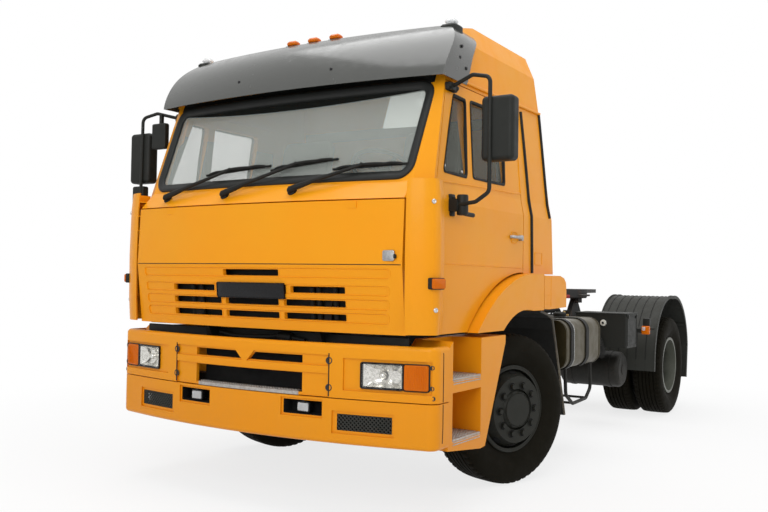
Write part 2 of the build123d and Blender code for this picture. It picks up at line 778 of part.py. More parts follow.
# z of the slot's middle, and the x limits of the openings in that row
GRILLE_SLOTS = (
    (1424, ((-224, 224),)),
    (1325, ((-690, -305), (305, 690))),
    (1245, ((-690, -250), (-215, 215), (250, 690))),
    (1165, ((-690, -250), (-215, 215), (250, 690))),
)
SLOT_HEIGHT = 44
# z of the middle, height and half length of the shallow grooves that the slots lie in
GRILLE_GROOVES = (
    (1424, 60, 985),
    (1325, 60, 975),
    (1245, 62, 970),
    (1165, 62, 965),
)
GROOVE_DEPTH = 7
GROOVE_END_RADIUS = 24


def front_skin(rows, inset, grow):
    """Bowed skin of the cab's front between two heights, as a closed volume."""
    sections = []
    for z, corner_y, middle_y in rows:
        with BuildSketch(Plane.XY.offset(z)) as section:
            with BuildLine():
                left = (-FRONT_SKIN_HALF + grow, front(corner_y + inset))
                right = (FRONT_SKIN_HALF - grow, front(corner_y + inset))
                ThreePointArc(left, (0, front(middle_y + inset)), right)
                back = front(-1300)
                Polyline(right, (right[0], back), (left[0], back), left)
            make_face()
        sections.append(section.sketch)
    loft(sections, ruled=True)


def front_core(rows):
    """Space behind the skin, taller than the skin so that it cuts cleanly."""
    low, high = rows[0], rows[-1]
    with BuildPart(mode=Mode.PRIVATE) as core:
        longer = (low[0] - 1, low[1], low[2]), (high[0] + 1, high[1], high[2])
        front_skin(longer, FRONT_SKIN_THICKNESS, -5)
    return core.part


HINGE_LUG_XS = (-720, 720)

with BuildPart() as front_flap:
    front_skin(FRONT_SKIN[1:], 0, 0)
    add(front_core(FRONT_SKIN[1:]), mode=Mode.SUBTRACT)
    for x in HINGE_LUG_XS:
        block((x - 40, x + 40), (front(-1520), front(-1440)), (FLAP_HINGE_Z - 45, FLAP_HINGE_Z - 8))
    add(cab_solid(-FIT_GAP), mode=Mode.SUBTRACT)
PIECES["front_flap"] = front_flap


def grille_grooves():
    """Long shallow grooves with round ends, as deep all along the bowed skin."""
    with BuildPart(mode=Mode.PRIVATE) as behind:
        longer = (FRONT_SKIN[0], FRONT_SKIN[1])
        front_skin(longer, GROOVE_DEPTH, -5)
    with BuildPart(mode=Mode.PRIVATE) as grooves:
        for z, height, half_length in GRILLE_GROOVES:
            with BuildSketch(across(front(-1700))) as outline:
                with Locations((0, z)):
                    RectangleRounded(2 * half_length, height, GROOVE_END_RADIUS)
            extrude(outline.sketch, amount=-300)
        add(behind.part, mode=Mode.SUBTRACT)
    return grooves.part


with BuildPart() as grille_panel:
    front_skin(FRONT_SKIN[:2], 0, 0)
    add(front_core(FRONT_SKIN[:2]), mode=Mode.SUBTRACT)
    add(grille_grooves(), mode=Mode.SUBTRACT)
    for z, openings in GRILLE_SLOTS:
        for low, high in openings:
            with BuildSketch(across(front(-1700))) as slot:
                with Locations(((low + high) / 2, z)):
                    RectangleRounded(high - low, SLOT_HEIGHT, 10)
            extrude(amount=-400, mode=Mode.SUBTRACT)
PIECES["grille_panel"] = grille_panel

# ---------------------------------------------------------------- corner deflectors
DEFLECTOR_WALL = 14
DEFLECTOR_RIB_ZS = (1500, 1600, 1700, 1800, 1900)
# height and how far the outer face is drawn in there
DEFLECTOR_SECTIONS = ((1085, 12), (1250, 3), (1550, 0), (1850, 6), (1965, 16))

def deflector_section(side, z, drawn_in, filled):
    """Plan of a corner deflector's curved blade, or of all the space behind it."""
    with BuildSketch(Plane.XY.offset(z)) as section:
        with BuildLine():
            lead = (side * 1076, front(-1492 + drawn_in))
            turn = (side * (HALF_WIDTH - 82 - drawn_in * 0.6), front(-1463 + drawn_in * 0.8))
            bend = (side * (HALF_WIDTH - 28 - drawn_in), front(-1425 + drawn_in * 0.5))
            round_out = (side * (HALF_WIDTH - 14 - drawn_in), front(-1398))
            flank = (side * (HALF_WIDTH - 12 - drawn_in), front(-1360))
            tail = (side * (HALF_WIDTH - 38 - drawn_in), front(-1278))
            ThreePointArc(lead, turn, bend)
            ThreePointArc(bend, round_out, flank)
            Line(flank, tail)
            if filled:
                Polyline(tail, (side * 1100, front(-1300)), (side * 1040, front(-1400)), lead)
            else:
                wall = side * DEFLECTOR_WALL
                flank_in = (flank[0] - wall, flank[1])
                bend_in = (bend[0] - wall * 0.8, bend[1] + DEFLECTOR_WALL * 0.7)
                turn_in = (turn[0] - wall * 0.4, turn[1] + DEFLECTOR_WALL)
                lead_in = (lead[0] + side * 3, lead[1] + DEFLECTOR_WALL)
                Polyline(tail, (tail[0] - wall, tail[1]), flank_in, bend_in)
                ThreePointArc(bend_in, turn_in, lead_in)
                Line(lead_in, lead)
        make_face()
    return section.sketch


def deflector_levels(side):
    """Flat plates at the heights of the ribs behind one deflector."""
    with BuildPart(mode=Mode.PRIVATE) as levels:
        for z in DEFLECTOR_RIB_ZS:
            block(mirrored(side, (1000, HALF_WIDTH - 20)), (front(-1480), front(-1340)), (z, z + 6))
    return levels.part


def deflector_ribs(side):
    """Ribs that join the blade to the cab's corner, trimmed to the space behind it."""
    with BuildPart(mode=Mode.PRIVATE) as ribs:
        loft([deflector_section(side, *row, True) for row in DEFLECTOR_SECTIONS], ruled=True)
        add(deflector_levels(side), mode=Mode.INTERSECT)
    return ribs.part


with BuildPart() as corner_deflectors:
    for side in (-1, 1):
        loft([deflector_section(side, *row, False) for row in DEFLECTOR_SECTIONS], ruled=True)
        add(deflector_ribs(side))
    add(cab_solid(-FIT_GAP), mode=Mode.SUBTRACT)
PIECES["corner_deflectors"] = corner_deflectors

# ---------------------------------------------------------------- wheel arches
# outer curve of the moulding, its flat top and the wheel opening inside it
ARCH_OUTER = ((30, CAB_FLOOR_Z), (-882, 1076))
ARCH_INNER = ((-500, 1076), (-370, 1150), (0, 1192))
ARCH_SPLIT = 197
ARCH_SPLIT_GAP = 8
ARCH_TAIL = 650
ARCH_TAIL_DROP = 10
ARCH_X = (1100, HALF_WIDTH - 10)
ARCH_INNER_X = 640
LINER_THICKNESS = 8


def arch_points(*points):
    """Side-view points measured from the front axle."""
    return [(front(y), z) for y, z in points]


with BuildPart() as wheel_arches:
    for side in (-1, 1):
        with BuildSketch(Plane.YZ.offset(side * ARCH_X[0])) as band:
            with BuildLine():
                TangentArc(*arch_points(*ARCH_OUTER), tangent=(-1, 0))
                Polyline(
                    *arch_points(
                        (30, CAB_FLOOR_Z),
                        (ARCH_SPLIT, CAB_FLOOR_Z),
                        (ARCH_SPLIT, 1192),
                        (0, 1192),
                    )
                )
                ThreePointArc(*arch_points(*ARCH_INNER)[::-1])
                Line(*arch_points((-500, 1076), (-882, 1076)))
            make_face()
        extrude(amount=side * (ARCH_X[1] - ARCH_X[0]))
        with BuildSketch(Plane.YZ.offset(side * ARCH_INNER_X)):
            with BuildLine():
                ThreePointArc(*arch_points((-505, 1080), (-370, 1158), (0, 1200)))
                Line(*arch_points((0, 1200), (ARCH_SPLIT, 1200)))
            trace(line_width=LINER_THICKNESS)
        extrude(amount=side * (ARCH_X[0] - ARCH_INNER_X + 2))
PIECES["wheel_arches"] = wheel_arches

with BuildPart() as rear_arches:
    for side in (-1, 1):
        with BuildSketch(Plane.YZ.offset(side * ARCH_X[0])):
            with BuildLine():
                split = ARCH_SPLIT + ARCH_SPLIT_GAP
                top = CAB_FLOOR_Z - ARCH_TAIL_DROP
                Polyline(
                    *arch_points(
                        (split, 1200),
                        (split, top),
                        (520, top),
                        (600, top - 18),
                        (ARCH_TAIL - 10, top - 50),
                        (ARCH_TAIL, top - 110),
                        (ARCH_TAIL, 1205),
                        (300, 1196),
                    ),
                    close=True,
                )
            make_face()
        extrude(amount=side * (ARCH_X[1] - ARCH_X[0]))
        # bracket arm back to the frame rail
        arm = mirrored(side, (RAIL_OUTER_X, ARCH_X[0] + 1))
        block(arm, (front(560), front(600)), (1215, 1240))
        foot = mirrored(side, (RAIL_OUTER_X, RAIL_OUTER_X + 25))
        block(foot, (front(560), front(600)), (860, 1216))
PIECES["rear_arches"] = rear_arches

with BuildPart() as mud_flaps:
    for side in (-1, 1):
        with BuildSketch(Plane.YZ.offset(side * (RAIL_OUTER_X + 60))):
            with BuildLine():
                Polyline(*arch_points((215, 1188), (440, 1130), (500, 1040), (748, 375)))
            trace(line_width=8)
        extrude(amount=side * (1195 - RAIL_OUTER_X - 60))
        hanger = mirrored(side, (RAIL_OUTER_X, RAIL_OUTER_X + 62))
        block(hanger, (front(525), front(555)), (885, 925))
PIECES["mud_flaps"] = mud_flaps

# ---------------------------------------------------------------- bumper
BUMPER_HALF_ARC = HALF_WIDTH - 190
BUMPER_CORNER_Y = -1466
BUMPER_MIDDLE_Y = -FRONT_OVERHANG
BUMPER_END_Y = -1262
BUMPER_WALL = 36
BUMPER_TOP_Z = 1018
BUMPER_SEAM_Z = 703
BUMPER_SEAM_GAP = 6
BUMPER_BOTTOM_Z = 440


def bumper_face(inset, back=BUMPER_END_Y):
    """Plan of the bumper drawn in by inset, closed along its rear ends."""
    with BuildSketch(Plane.XY) as plan:
        with BuildLine():
            corner = (BUMPER_HALF_ARC - inset * 0.4, front(BUMPER_CORNER_Y + inset))
            turn = (HALF_WIDTH - 60 - inset * 0.7, front(-1437 + inset * 0.9))
            flank = (HALF_WIDTH - inset, front(-1368))
            end = (HALF_WIDTH - inset, front(back))
            bend = (HALF_WIDTH - 16 - inset * 0.9, front(-1413 + inset * 0.4))
            ThreePointArc((-corner[0], corner[1]), (0, front(BUMPER_MIDDLE_Y + inset)), corner)
            Line(corner, turn)
            ThreePointArc(turn, bend, flank)
            Polyline(flank, end, (-end[0], end[1]), (-flank[0], flank[1]))
            ThreePointArc((-flank[0], flank[1]), (-bend[0], bend[1]), (-turn[0], turn[1]))
            Line((-turn[0], turn[1]), (-corner[0], corner[1]))
        make_face()
    return plan.sketch


def bumper_ring(outer, inner, low, high):
    """Part of the bumper's skin between two depths and two heights."""
    with BuildPart(mode=Mode.PRIVATE) as ring:
        with BuildSketch(Plane.XY.offset(low)):
            add(bumper_face(outer))
            add(bumper_face(inner, BUMPER_END_Y + 60), mode=Mode.SUBTRACT)
        extrude(amount=high - low)
    return ring.part


def outer_front_edge(edge):
    """True for an edge of the bumper's outer outline, and not of its inner face."""
    middle = edge.center()
    outline = bumper_face(BUMPER_WALL / 2, BUMPER_END_Y + 60).faces()[0]
    inside = outline.is_inside(Vector(middle.X, middle.Y, 0))
    return not inside and middle.Y < front(BUMPER_END_Y) - 5


BUMPER_LIP_RADIUS = 26
LAMP_Z = (770, 920)
LAMP_X = (808, 1062)
SIGNAL_X = (1062, 1208)
# x and z limits of the openings in the upper skin, and in the lower one
UPPER_OPENINGS = (
    ((-425, 425), (893, 940)),
    ((-425, 425), (722, 838)),
)
LOWER_OPENINGS = (
    ((297, 561), (592, 676)),
    ((-561, -297), (592, 676)),
    ((660, 995), (520, 615)),
    ((-995, -660), (520, 615)),
)

# x and z limits of the shallow pockets in each skin, given for the left side
UPPER_POCKETS = (
    ((-610, 610), (885, 950)),
    ((-610, 610), (690, 843)),
    ((700, HALF_WIDTH - 26), (752, 938)),
    ((26 - HALF_WIDTH, -700), (752, 938)),
)
LOWER_POCKETS = (
    ((284, 574), (580, 688)),
    ((-574, -284), (580, 688)),
    ((632, 1012), (502, 632)),
    ((-1012, -632), (502, 632)),
)
POCKET_DEPTH = 12


def pockets(limits):
    """Pockets of one depth, measured square to the bumper's bowed skin."""
    with BuildPart(mode=Mode.PRIVATE) as hollows:
        for x, z in limits:
            block(x, (front(-1700), front(-1340)), z)
        deep = bumper_ring(POCKET_DEPTH, 3 * BUMPER_WALL, BUMPER_BOTTOM_Z, BUMPER_TOP_Z)
        add(deep, mode=Mode.SUBTRACT)
    return hollows.part


with BuildPart() as bumper_upper:
    add(bumper_ring(0, BUMPER_WALL, BUMPER_SEAM_Z + BUMPER_SEAM_GAP / 2, BUMPER_TOP_Z))
    top = bumper_upper.faces().sort_by(Axis.Z)[-1]
    fillet(top.edges().filter_by(outer_front_edge), BUMPER_LIP_RADIUS)
    add(pockets(UPPER_POCKETS), mode=Mode.SUBTRACT)
    for x, z in UPPER_OPENINGS:
        block(x, (front(-1700), front(-1450)), z, mode=Mode.SUBTRACT)
    for side in (-1, 1):
        hole = mirrored(side, (LAMP_X[0] - FIT_GAP, SIGNAL_X[1] + FIT_GAP))
        low, high = LAMP_Z
        block(hole, (front(-1700), front(-1330)), (low - FIT_GAP, high + FIT_GAP), mode=Mode.SUBTRACT)
PIECES["bumper_upper"] = bumper_upper

with BuildPart() as bumper_lower:
    add(bumper_ring(0, BUMPER_WALL, BUMPER_BOTTOM_Z, BUMPER_SEAM_Z - BUMPER_SEAM_GAP / 2))
    bottom = bumper_lower.faces().sort_by(Axis.Z)[0]
    fillet(bottom.edges().filter_by(outer_front_edge), BUMPER_LIP_RADIUS)
    add(pockets(LOWER_POCKETS), mode=Mode.SUBTRACT)
    for x, z in LOWER_OPENINGS:
        block(x, (front(-1700), front(-1380)), z, mode=Mode.SUBTRACT)
PIECES["bumper_lower"] = bumper_lower


def lamp_windows(x_limits):
    """Blocks on both sides that mark out one pair of lamps in the bumper's skin."""
    with BuildPart(mode=Mode.PRIVATE) as windows:
        for side in (-1, 1):
            block(mirrored(side, x_limits), (front(-1700), front(-1330)), LAMP_Z)
    return windows.part


for name, x_limits in (("headlamps", LAMP_X), ("turn_signals", SIGNAL_X)):
    with BuildPart() as lamps:
        add(bumper_ring(5, 60, LAMP_Z[0], LAMP_Z[1]))
        add(lamp_windows(x_limits), mode=Mode.INTERSECT)
    PIECES[name] = lamps

BEAM_Y = (-1422, -1345)
BEAM_Z = (620, 760)
BEAM_HALF = 1000
# levels of the lip that the upper and lower skins are screwed to
BEAM_LIP_Z = (686, 716)

with BuildPart() as bumper_beam:
    with BuildSketch(Plane.XY.offset(BEAM_LIP_Z[0])):
        add(bumper_face(BUMPER_WALL + FIT_GAP))
    extrude(amount=BEAM_LIP_Z[1] - BEAM_LIP_Z[0])
    block((-2000, 2000), (front(BEAM_Y[1]), front(0)), (600, 800), mode=Mode.SUBTRACT)
    for side in (-1, 1):
        block(mirrored(side, (BEAM_HALF, 2000)), (front(-2000), front(0)), (600, 800), mode=Mode.SUBTRACT)
    block((-BEAM_HALF, BEAM_HALF), (front(BEAM_Y[0]), front(BEAM_Y[1])), BEAM_Z)
    for side in (-1, 1):
        stub = mirrored(side, (RAIL_OUTER_X - RAIL_FLANGE, RAIL_OUTER_X))
        block(stub, (front(BEAM_Y[1]), front(RAIL_FRONT)), (650, 760))
PIECES["bumper_beam"] = bumper_beam

# ---------------------------------------------------------------- entry steps
STEP_FRONT = -1258
STEP_TOP_Z = 1046
STEP_BOTTOM_Z = 400
STEP_INNER_X = 985
STEP_RECESS_X = 1035
STEP_RECESS = (-1205, -830)
# top of each tread and the headroom above it
STEP_TREADS = ((465, 745), (815, 1060))

with BuildPart() as step_boxes:
    for side in (-1, 1):
        with BuildSketch(Plane.YZ.offset(side * STEP_INNER_X)):
            with BuildLine():
                Polyline(
                    *arch_points(
                        (STEP_FRONT, STEP_BOTTOM_Z + 20),
                        (STEP_FRONT, 1000),
                        (-1200, STEP_TOP_Z),
                        (-470, STEP_TOP_Z),
                        (-470, 1000),
                        (-763, 378),
                        (-830, 372),
                    ),
                    close=True,
                )
            make_face()
        extrude(amount=side * (HALF_WIDTH - 10 - STEP_INNER_X))
        for low, high in STEP_TREADS:
            hole = mirrored(side, (STEP_RECESS_X, HALF_WIDTH + 5))
            y = (front(STEP_RECESS[0]), front(STEP_RECESS[1]))
            block(hole, y, (low, high), mode=Mode.SUBTRACT)
        # carrier back to the frame rail
        block(mirrored(side, (RAIL_OUTER_X, STEP_INNER_X + 1)), (front(-1150), front(-1090)), (738, 795))
        block(mirrored(side, (RAIL_OUTER_X, STEP_INNER_X + 1)), (front(-1240), front(-1200)), (738, 795))
PIECES["step_boxes"] = step_boxes

# ---------------------------------------------------------------- frame side pieces
TANK = {"x": (590, 1200), "y": (760, 1590), "z": (712, 1096), "corner": 95}

with BuildPart() as fuel_tanks:
    for side in (-1, 1):
        x = mirrored(side, TANK["x"])
        with BuildSketch(across(front(TANK["y"][0]))):
            with Locations(((x[0] + x[1]) / 2, sum(TANK["z"]) / 2)):
                RectangleRounded(x[1] - x[0], TANK["z"][1] - TANK["z"][0], TANK["corner"])
        extrude(amount=-(TANK["y"][1] - TANK["y"][0]))
        for place in (TANK["y"][0] + 150, TANK["y"][1] - 150):
            arm = mirrored(side, (RAIL_OUTER_X, TANK["x"][0] + 20))
            block(arm, (front(place - 35), front(place + 35)), (820, 960))
PIECES["fuel_tanks"] = fuel_tanks

GUARD_TUBE_RADIUS = 14
GUARD_XS = (830, 1130)
GUARD_ROUTE = ((1530, 780), (1555, 500), (1440, 424), (1120, 414), (960, 500), (930, 780))

with BuildPart() as tank_guards:
    for side in (-1, 1):
        for x in GUARD_XS:
            with BuildLine() as route:
                points = [(side * x, front(y), z) for y, z in GUARD_ROUTE]
                FilletPolyline(*points, radius=55)
            with BuildSketch(Plane(origin=points[0], z_dir=route.line % 0)) as tube:
                Circle(GUARD_TUBE_RADIUS)
            sweep(tube.sketch, path=route.line)
        for y, z in ((1440, 428), (1120, 418)):
            with Locations(Location((side * sum(GUARD_XS) / 2, front(y), z), (0, 90, 0))):
                Cylinder(10, GUARD_XS[1] - GUARD_XS[0])
    add(fuel_tanks.part, mode=Mode.SUBTRACT)
PIECES["tank_guards"] = tank_guards

DRUM_TANK = {"x": (450, 1045), "y": 2800, "z": 548, "radius": 172}

with BuildPart() as air_tanks:
    for side in (-1, 1):
        middle = side * sum(DRUM_TANK["x"]) / 2
        length = DRUM_TANK["x"][1] - DRUM_TANK["x"][0]
        with Locations(Location((middle, front(DRUM_TANK["y"]), DRUM_TANK["z"]), (0, 90, 0))):
            Cylinder(DRUM_TANK["radius"], length)
    ends = air_tanks.edges().filter_by(GeomType.CIRCLE)
    fillet(ends, 45)
    for side in (-1, 1):
        hanger = mirrored(side, (380, 520))
        y = (front(DRUM_TANK["y"] - 40), front(DRUM_TANK["y"] + 40))
        block(hanger, y, (DRUM_TANK["z"] + 60, RAIL_TOP_Z - RAIL_HEIGHT))
PIECES["air_tanks"] = air_tanks

SIDE_BOX = {"x": (705, 1200), "y": (2380, 2716), "z": (786, 1106)}

with BuildPart() as side_boxes:
    for side in (-1, 1):
        block(
            mirrored(side, SIDE_BOX["x"]),
            (front(SIDE_BOX["y"][0]), front(SIDE_BOX["y"][1])),
            SIDE_BOX["z"],
        )
    fillet(side_boxes.edges().filter_by(Axis.Z), 18)
    for side in (-1, 1):
        for place in (2430, 2630):
            arm = mirrored(side, (RAIL_OUTER_X, SIDE_BOX["x"][0] + 1))
            block(arm, (front(place), front(place + 40)), (840, 900))
PIECES["side_boxes"] = side_boxes

# ---------------------------------------------------------------- rear mudguards
MUDGUARD_X = (632, 1248)
MUDGUARD_SKIN = 10
MUDGUARD_LIP = 34
MUDGUARD_STAYS = ((-640, 930), (602, 930))
MUDGUARD_TUBE_RADIUS = 20


def mudguard_line():
    """Side-view line of the mudguard's outer skin over the rear wheel."""
    with BuildLine() as line:
        ThreePointArc((rear(-735), 640), (rear(-535), 1075), (rear(0), 1246))
        ThreePointArc((rear(0), 1246), (rear(515), 1060), (rear(683), 700))
        Line((rear(683), 700), (rear(640), 334))
        Line((rear(-735), 640), (rear(-748), 507))
    return line.line


with BuildPart() as rear_mudguards:
    for side in (-1, 1):
        with BuildSketch(Plane.YZ.offset(side * MUDGUARD_X[0])):
            trace(mudguard_line(), line_width=MUDGUARD_SKIN)
        extrude(amount=side * (MUDGUARD_X[1] - MUDGUARD_X[0]))
        for lip in (MUDGUARD_X[0], MUDGUARD_X[1] - MUDGUARD_SKIN):
            with BuildSketch(Plane.YZ.offset(side * lip)):
                trace(mudguard_line(), line_width=MUDGUARD_LIP)
            extrude(amount=side * MUDGUARD_SKIN)
        for y, z in MUDGUARD_STAYS:
            length = MUDGUARD_X[1] - 30 - RAIL_OUTER_X
            middle = side * (RAIL_OUTER_X + length / 2)
            with Locations(Location((middle, rear(y), z), (0, 90, 0))):
                Cylinder(MUDGUARD_TUBE_RADIUS, length)
PIECES["rear_mudguards"] = rear_mudguards

# ---------------------------------------------------------------- fifth wheel
FIFTH_WHEEL_Y = rear(-FIFTH_WHEEL_LEAD)
PEDESTAL_X = (300, 350)
BASE_PLATE = 14
LUG_X = (PEDESTAL_X[1] + 6, PEDESTAL_X[1] + 46)

with BuildPart() as fifth_wheel_base:
    plate_z = (RAIL_TOP_Z, RAIL_TOP_Z + BASE_PLATE)
    y = (FIFTH_WHEEL_Y - 330, FIFTH_WHEEL_Y + 330)
    block((-RAIL_OUTER_X - 25, RAIL_OUTER_X + 25), y, plate_z)
    for side in (-1, 1):
        with BuildSketch(Plane.YZ.offset(side * PEDESTAL_X[0])):
            with BuildLine():
                Polyline(
                    (FIFTH_WHEEL_Y - 210, RAIL_TOP_Z + BASE_PLATE - 1),
                    (FIFTH_WHEEL_Y + 210, RAIL_TOP_Z + BASE_PLATE - 1),
                    (FIFTH_WHEEL_Y + 42, FIFTH_WHEEL_PIVOT_Z),
                    (FIFTH_WHEEL_Y - 42, FIFTH_WHEEL_PIVOT_Z),
                    close=True,
                )
            make_face()
            with Locations((FIFTH_WHEEL_Y, FIFTH_WHEEL_PIVOT_Z)):
                Circle(45)
                Circle(PIVOT_PIN_RADIUS + FIT_GAP, mode=Mode.SUBTRACT)
        extrude(amount=side * (PEDESTAL_X[1] - PEDESTAL_X[0]))
PIECES["fifth_wheel_base"] = fifth_wheel_base

PLATE_BOTTOM_Z = FIFTH_WHEEL_TOP_Z - FIFTH_WHEEL_PLATE
THROAT_MOUTH = 330

with BuildPart() as fifth_wheel_plate:
    with BuildSketch(Plane.XY.offset(PLATE_BOTTOM_Z)) as outline:
        with Locations((0, FIFTH_WHEEL_Y)):
            Circle(FIFTH_WHEEL_RADIUS)
        for side in (-1, 1):
            with BuildLine():
                Polyline(
                    (side * 120, FIFTH_WHEEL_Y + 200),
                    (side * FIFTH_WHEEL_RADIUS, FIFTH_WHEEL_Y + 40),
                    (side * 400, FIFTH_WHEEL_Y + 520),
                    (side * 250, FIFTH_WHEEL_Y + 520),
                    close=True,
                )
            make_face()
        with BuildLine():
            Polyline(
                (-KINGPIN_HOLE_RADIUS, FIFTH_WHEEL_Y + 40),
                (KINGPIN_HOLE_RADIUS, FIFTH_WHEEL_Y + 40),
                (THROAT_MOUTH / 2, FIFTH_WHEEL_Y + 620),
                (-THROAT_MOUTH / 2, FIFTH_WHEEL_Y + 620),
                close=True,
            )
        make_face(mode=Mode.SUBTRACT)
    extrude(amount=FIFTH_WHEEL_PLATE)
    # closed lock jaws round the kingpin's hole
    with BuildSketch(Plane.XY.offset(PLATE_BOTTOM_Z - 30)):
        with Locations((0, FIFTH_WHEEL_Y)):
            Circle(110)
    extrude(amount=FIFTH_WHEEL_PLATE + 18)
    with BuildSketch(Plane.XY.offset(PLATE_BOTTOM_Z - 40)):
        with Locations((0, FIFTH_WHEEL_Y)):
            Circle(KINGPIN_HOLE_RADIUS)
    extrude(amount=FIFTH_WHEEL_PLATE + 60, mode=Mode.SUBTRACT)
    # side skirts with the rocking lugs and their pins
    for side in (-1, 1):
        block(
            mirrored(side, LUG_X),
            (FIFTH_WHEEL_Y - 60, FIFTH_WHEEL_Y + 60),
            (FIFTH_WHEEL_PIVOT_Z - 40, PLATE_BOTTOM_Z + 1),
        )
        with Locations(
            Location((side * (PEDESTAL_X[0] + LUG_X[1]) / 2, FIFTH_WHEEL_Y, FIFTH_WHEEL_PIVOT_Z), (0, 90, 0))
        ):
            Cylinder(PIVOT_PIN_RADIUS, LUG_X[1] - PEDESTAL_X[0])
PIECES["fifth_wheel_plate"] = fifth_wheel_plate

# ---------------------------------------------------------------- cab tilt hinge
MOUNT_PLATE = (RAIL_OUTER_X, RAIL_OUTER_X + 36)
ARM_X = (500, 550)

with BuildPart() as cab_mounts:
    for side in (-1, 1):
        with BuildSketch(Plane.YZ.offset(side * MOUNT_PLATE[0])):
            with BuildLine():
                Polyline(
                    *arch_points(
                        (TILT_PIVOT_Y - 48, TILT_PIVOT_Z),
                        (RAIL_FRONT, 800),
                        (-1130, 800),
                        (TILT_PIVOT_Y + 48, TILT_PIVOT_Z),
                    ),
                    close=True,
                )
            make_face()
            with Locations((front(TILT_PIVOT_Y), TILT_PIVOT_Z)):
                Circle(50)
                Circle(TILT_TUBE_RADIUS + FIT_GAP, mode=Mode.SUBTRACT)
        extrude(amount=side * (MOUNT_PLATE[1] - MOUNT_PLATE[0]))
PIECES["cab_mounts"] = cab_mounts

with BuildPart() as cab_tilt_tube:
    with Locations(Location((0, front(TILT_PIVOT_Y), TILT_PIVOT_Z), (0, 90, 0))):
        Cylinder(TILT_TUBE_RADIUS, 2 * ARM_X[1])
    for side in (-1, 1):
        with BuildSketch(Plane.YZ.offset(side * ARM_X[0])):
            with BuildLine():
                Polyline(
                    *arch_points(
                        (TILT_PIVOT_Y - 40, TILT_PIVOT_Z - 30),
                        (TILT_PIVOT_Y + 40, TILT_PIVOT_Z - 30),
                        (TILT_PIVOT_Y + 170, CAB_FLOOR_Z),
                        (TILT_PIVOT_Y - 20, CAB_FLOOR_Z),
                    ),
                    close=True,
                )
            make_face()
        extrude(amount=side * (ARM_X[1] - ARM_X[0]))
PIECES["cab_tilt_tube"] = cab_tilt_tube

# ---------------------------------------------------------------- cab inside
FLOOR_Z = CAB_FLOOR_Z + FLOOR_THICKNESS
SEAT_X = 560
SEAT_Y = -560

with BuildPart() as seats:
    for side in (-1, 1):
        x = (side * SEAT_X - 250, side * SEAT_X + 250)
        block((x[0] + 90, x[1] - 90), (front(SEAT_Y - 180), front(SEAT_Y + 180)), (FLOOR_Z, FLOOR_Z + 320))
        block(x, (front(SEAT_Y - 260), front(SEAT_Y + 250)), (FLOOR_Z + 300, FLOOR_Z + 430))
        with BuildSketch(Plane.YZ.offset(x[0])):
            with BuildLine():
                Polyline(
                    (front(SEAT_Y + 170), FLOOR_Z + 400),
                    (front(SEAT_Y + 270), FLOOR_Z + 400),
                    (front(SEAT_Y + 400), FLOOR_Z + 1000),
                    (front(SEAT_Y + 310), FLOOR_Z + 1010),
                    close=True,
                )
            make_face()
        extrude(amount=x[1] - x[0])
PIECES["seats"] = seats

BUNK_Y = (30, 440)
with BuildPart() as bunk:
    block((-1080, 1080), (front(BUNK_Y[0]), front(BUNK_Y[1])), (FLOOR_Z, FLOOR_Z + 520))
PIECES["bunk"] = bunk

with BuildPart() as dashboard:
    with BuildSketch(Plane.YZ.offset(-1000)):
        with BuildLine():
            Polyline(
                (front(-1330), FLOOR_Z),
                (front(-1160), FLOOR_Z),
                (front(-1100), FLOOR_Z + 280),
                (front(-980), FLOOR_Z + 420),
                (front(-1020), FLOOR_Z + 500),
                (front(-1320), FLOOR_Z + 430),
                close=True,
            )
        make_face()
    extrude(amount=2000)
PIECES["dashboard"] = dashboard

WHEEL_X = 560
STEERING_WHEEL_RADIUS = 225
STEERING_TILT_DEG = 32

with BuildPart() as steering_wheel:
    hub_point = Vector(WHEEL_X, front(-880), FLOOR_Z + 600)
    lean = radians(STEERING_TILT_DEG)
    wheel_plane = Plane(origin=hub_point, x_dir=(1, 0, 0), z_dir=(0, sin(lean), cos(lean)))
    with BuildSketch(Plane(origin=hub_point, x_dir=(1, 0, 0), z_dir=-wheel_plane.y_dir)) as rim:
        with Locations((STEERING_WHEEL_RADIUS, 0)):
            Circle(14)
    revolve(rim.sketch, axis=Axis(hub_point, wheel_plane.z_dir))
    with BuildSketch(wheel_plane.offset(-14)) as spokes:
        Circle(52)
        with PolarLocations(0, 4, start_angle=45):
            with Locations((STEERING_WHEEL_RADIUS / 2, 0)):
                Rectangle(STEERING_WHEEL_RADIUS, 26)
    extrude(spokes.sketch, amount=20)
    with BuildSketch(wheel_plane.offset(-13)) as column:
        Circle(30)
    extrude(column.sketch, amount=-190)
    add(dashboard.part, mode=Mode.SUBTRACT)
PIECES["steering_wheel"] = steering_wheel

# ---------------------------------------------------------------- roof lamps
MARKER_LAMP_XS = (-180, 0, 180)
CORNER_LAMP_X = 1040

with BuildPart() as roof_lamps:
    for x in MARKER_LAMP_XS:
        with Locations((x, front(-930), 2985)):
            Box(72, 44, 70)
    for side in (-1, 1):
        with Locations((side * CORNER_LAMP_X, front(-880), 2975)):
            Box(80, 110, 90)
    add(roof_solid(-FIT_GAP), mode=Mode.SUBTRACT)
    add(sun_visor.part, mode=Mode.SUBTRACT)
PIECES["roof_lamps"] = roof_lamps

# ---------------------------------------------------------------- tail lamps
TAIL_LAMP_X = (444, 626)
TAIL_LAMP_Z = (780, 890)
TAIL_PLATE_X = (380, 600)
TAIL_PLATE_Z = (800, 870)

with BuildPart() as tail_lamps:
    for side in (-1, 1):
        block(mirrored(side, TAIL_LAMP_X), (rear(RAIL_REAR + 9), rear(RAIL_REAR + 55)), TAIL_LAMP_Z)
        plate_y = (rear(RAIL_REAR + FIT_GAP), rear(RAIL_REAR + 10))
        block(mirrored(side, TAIL_PLATE_X), plate_y, TAIL_PLATE_Z)
PIECES["tail_lamps"] = tail_lamps

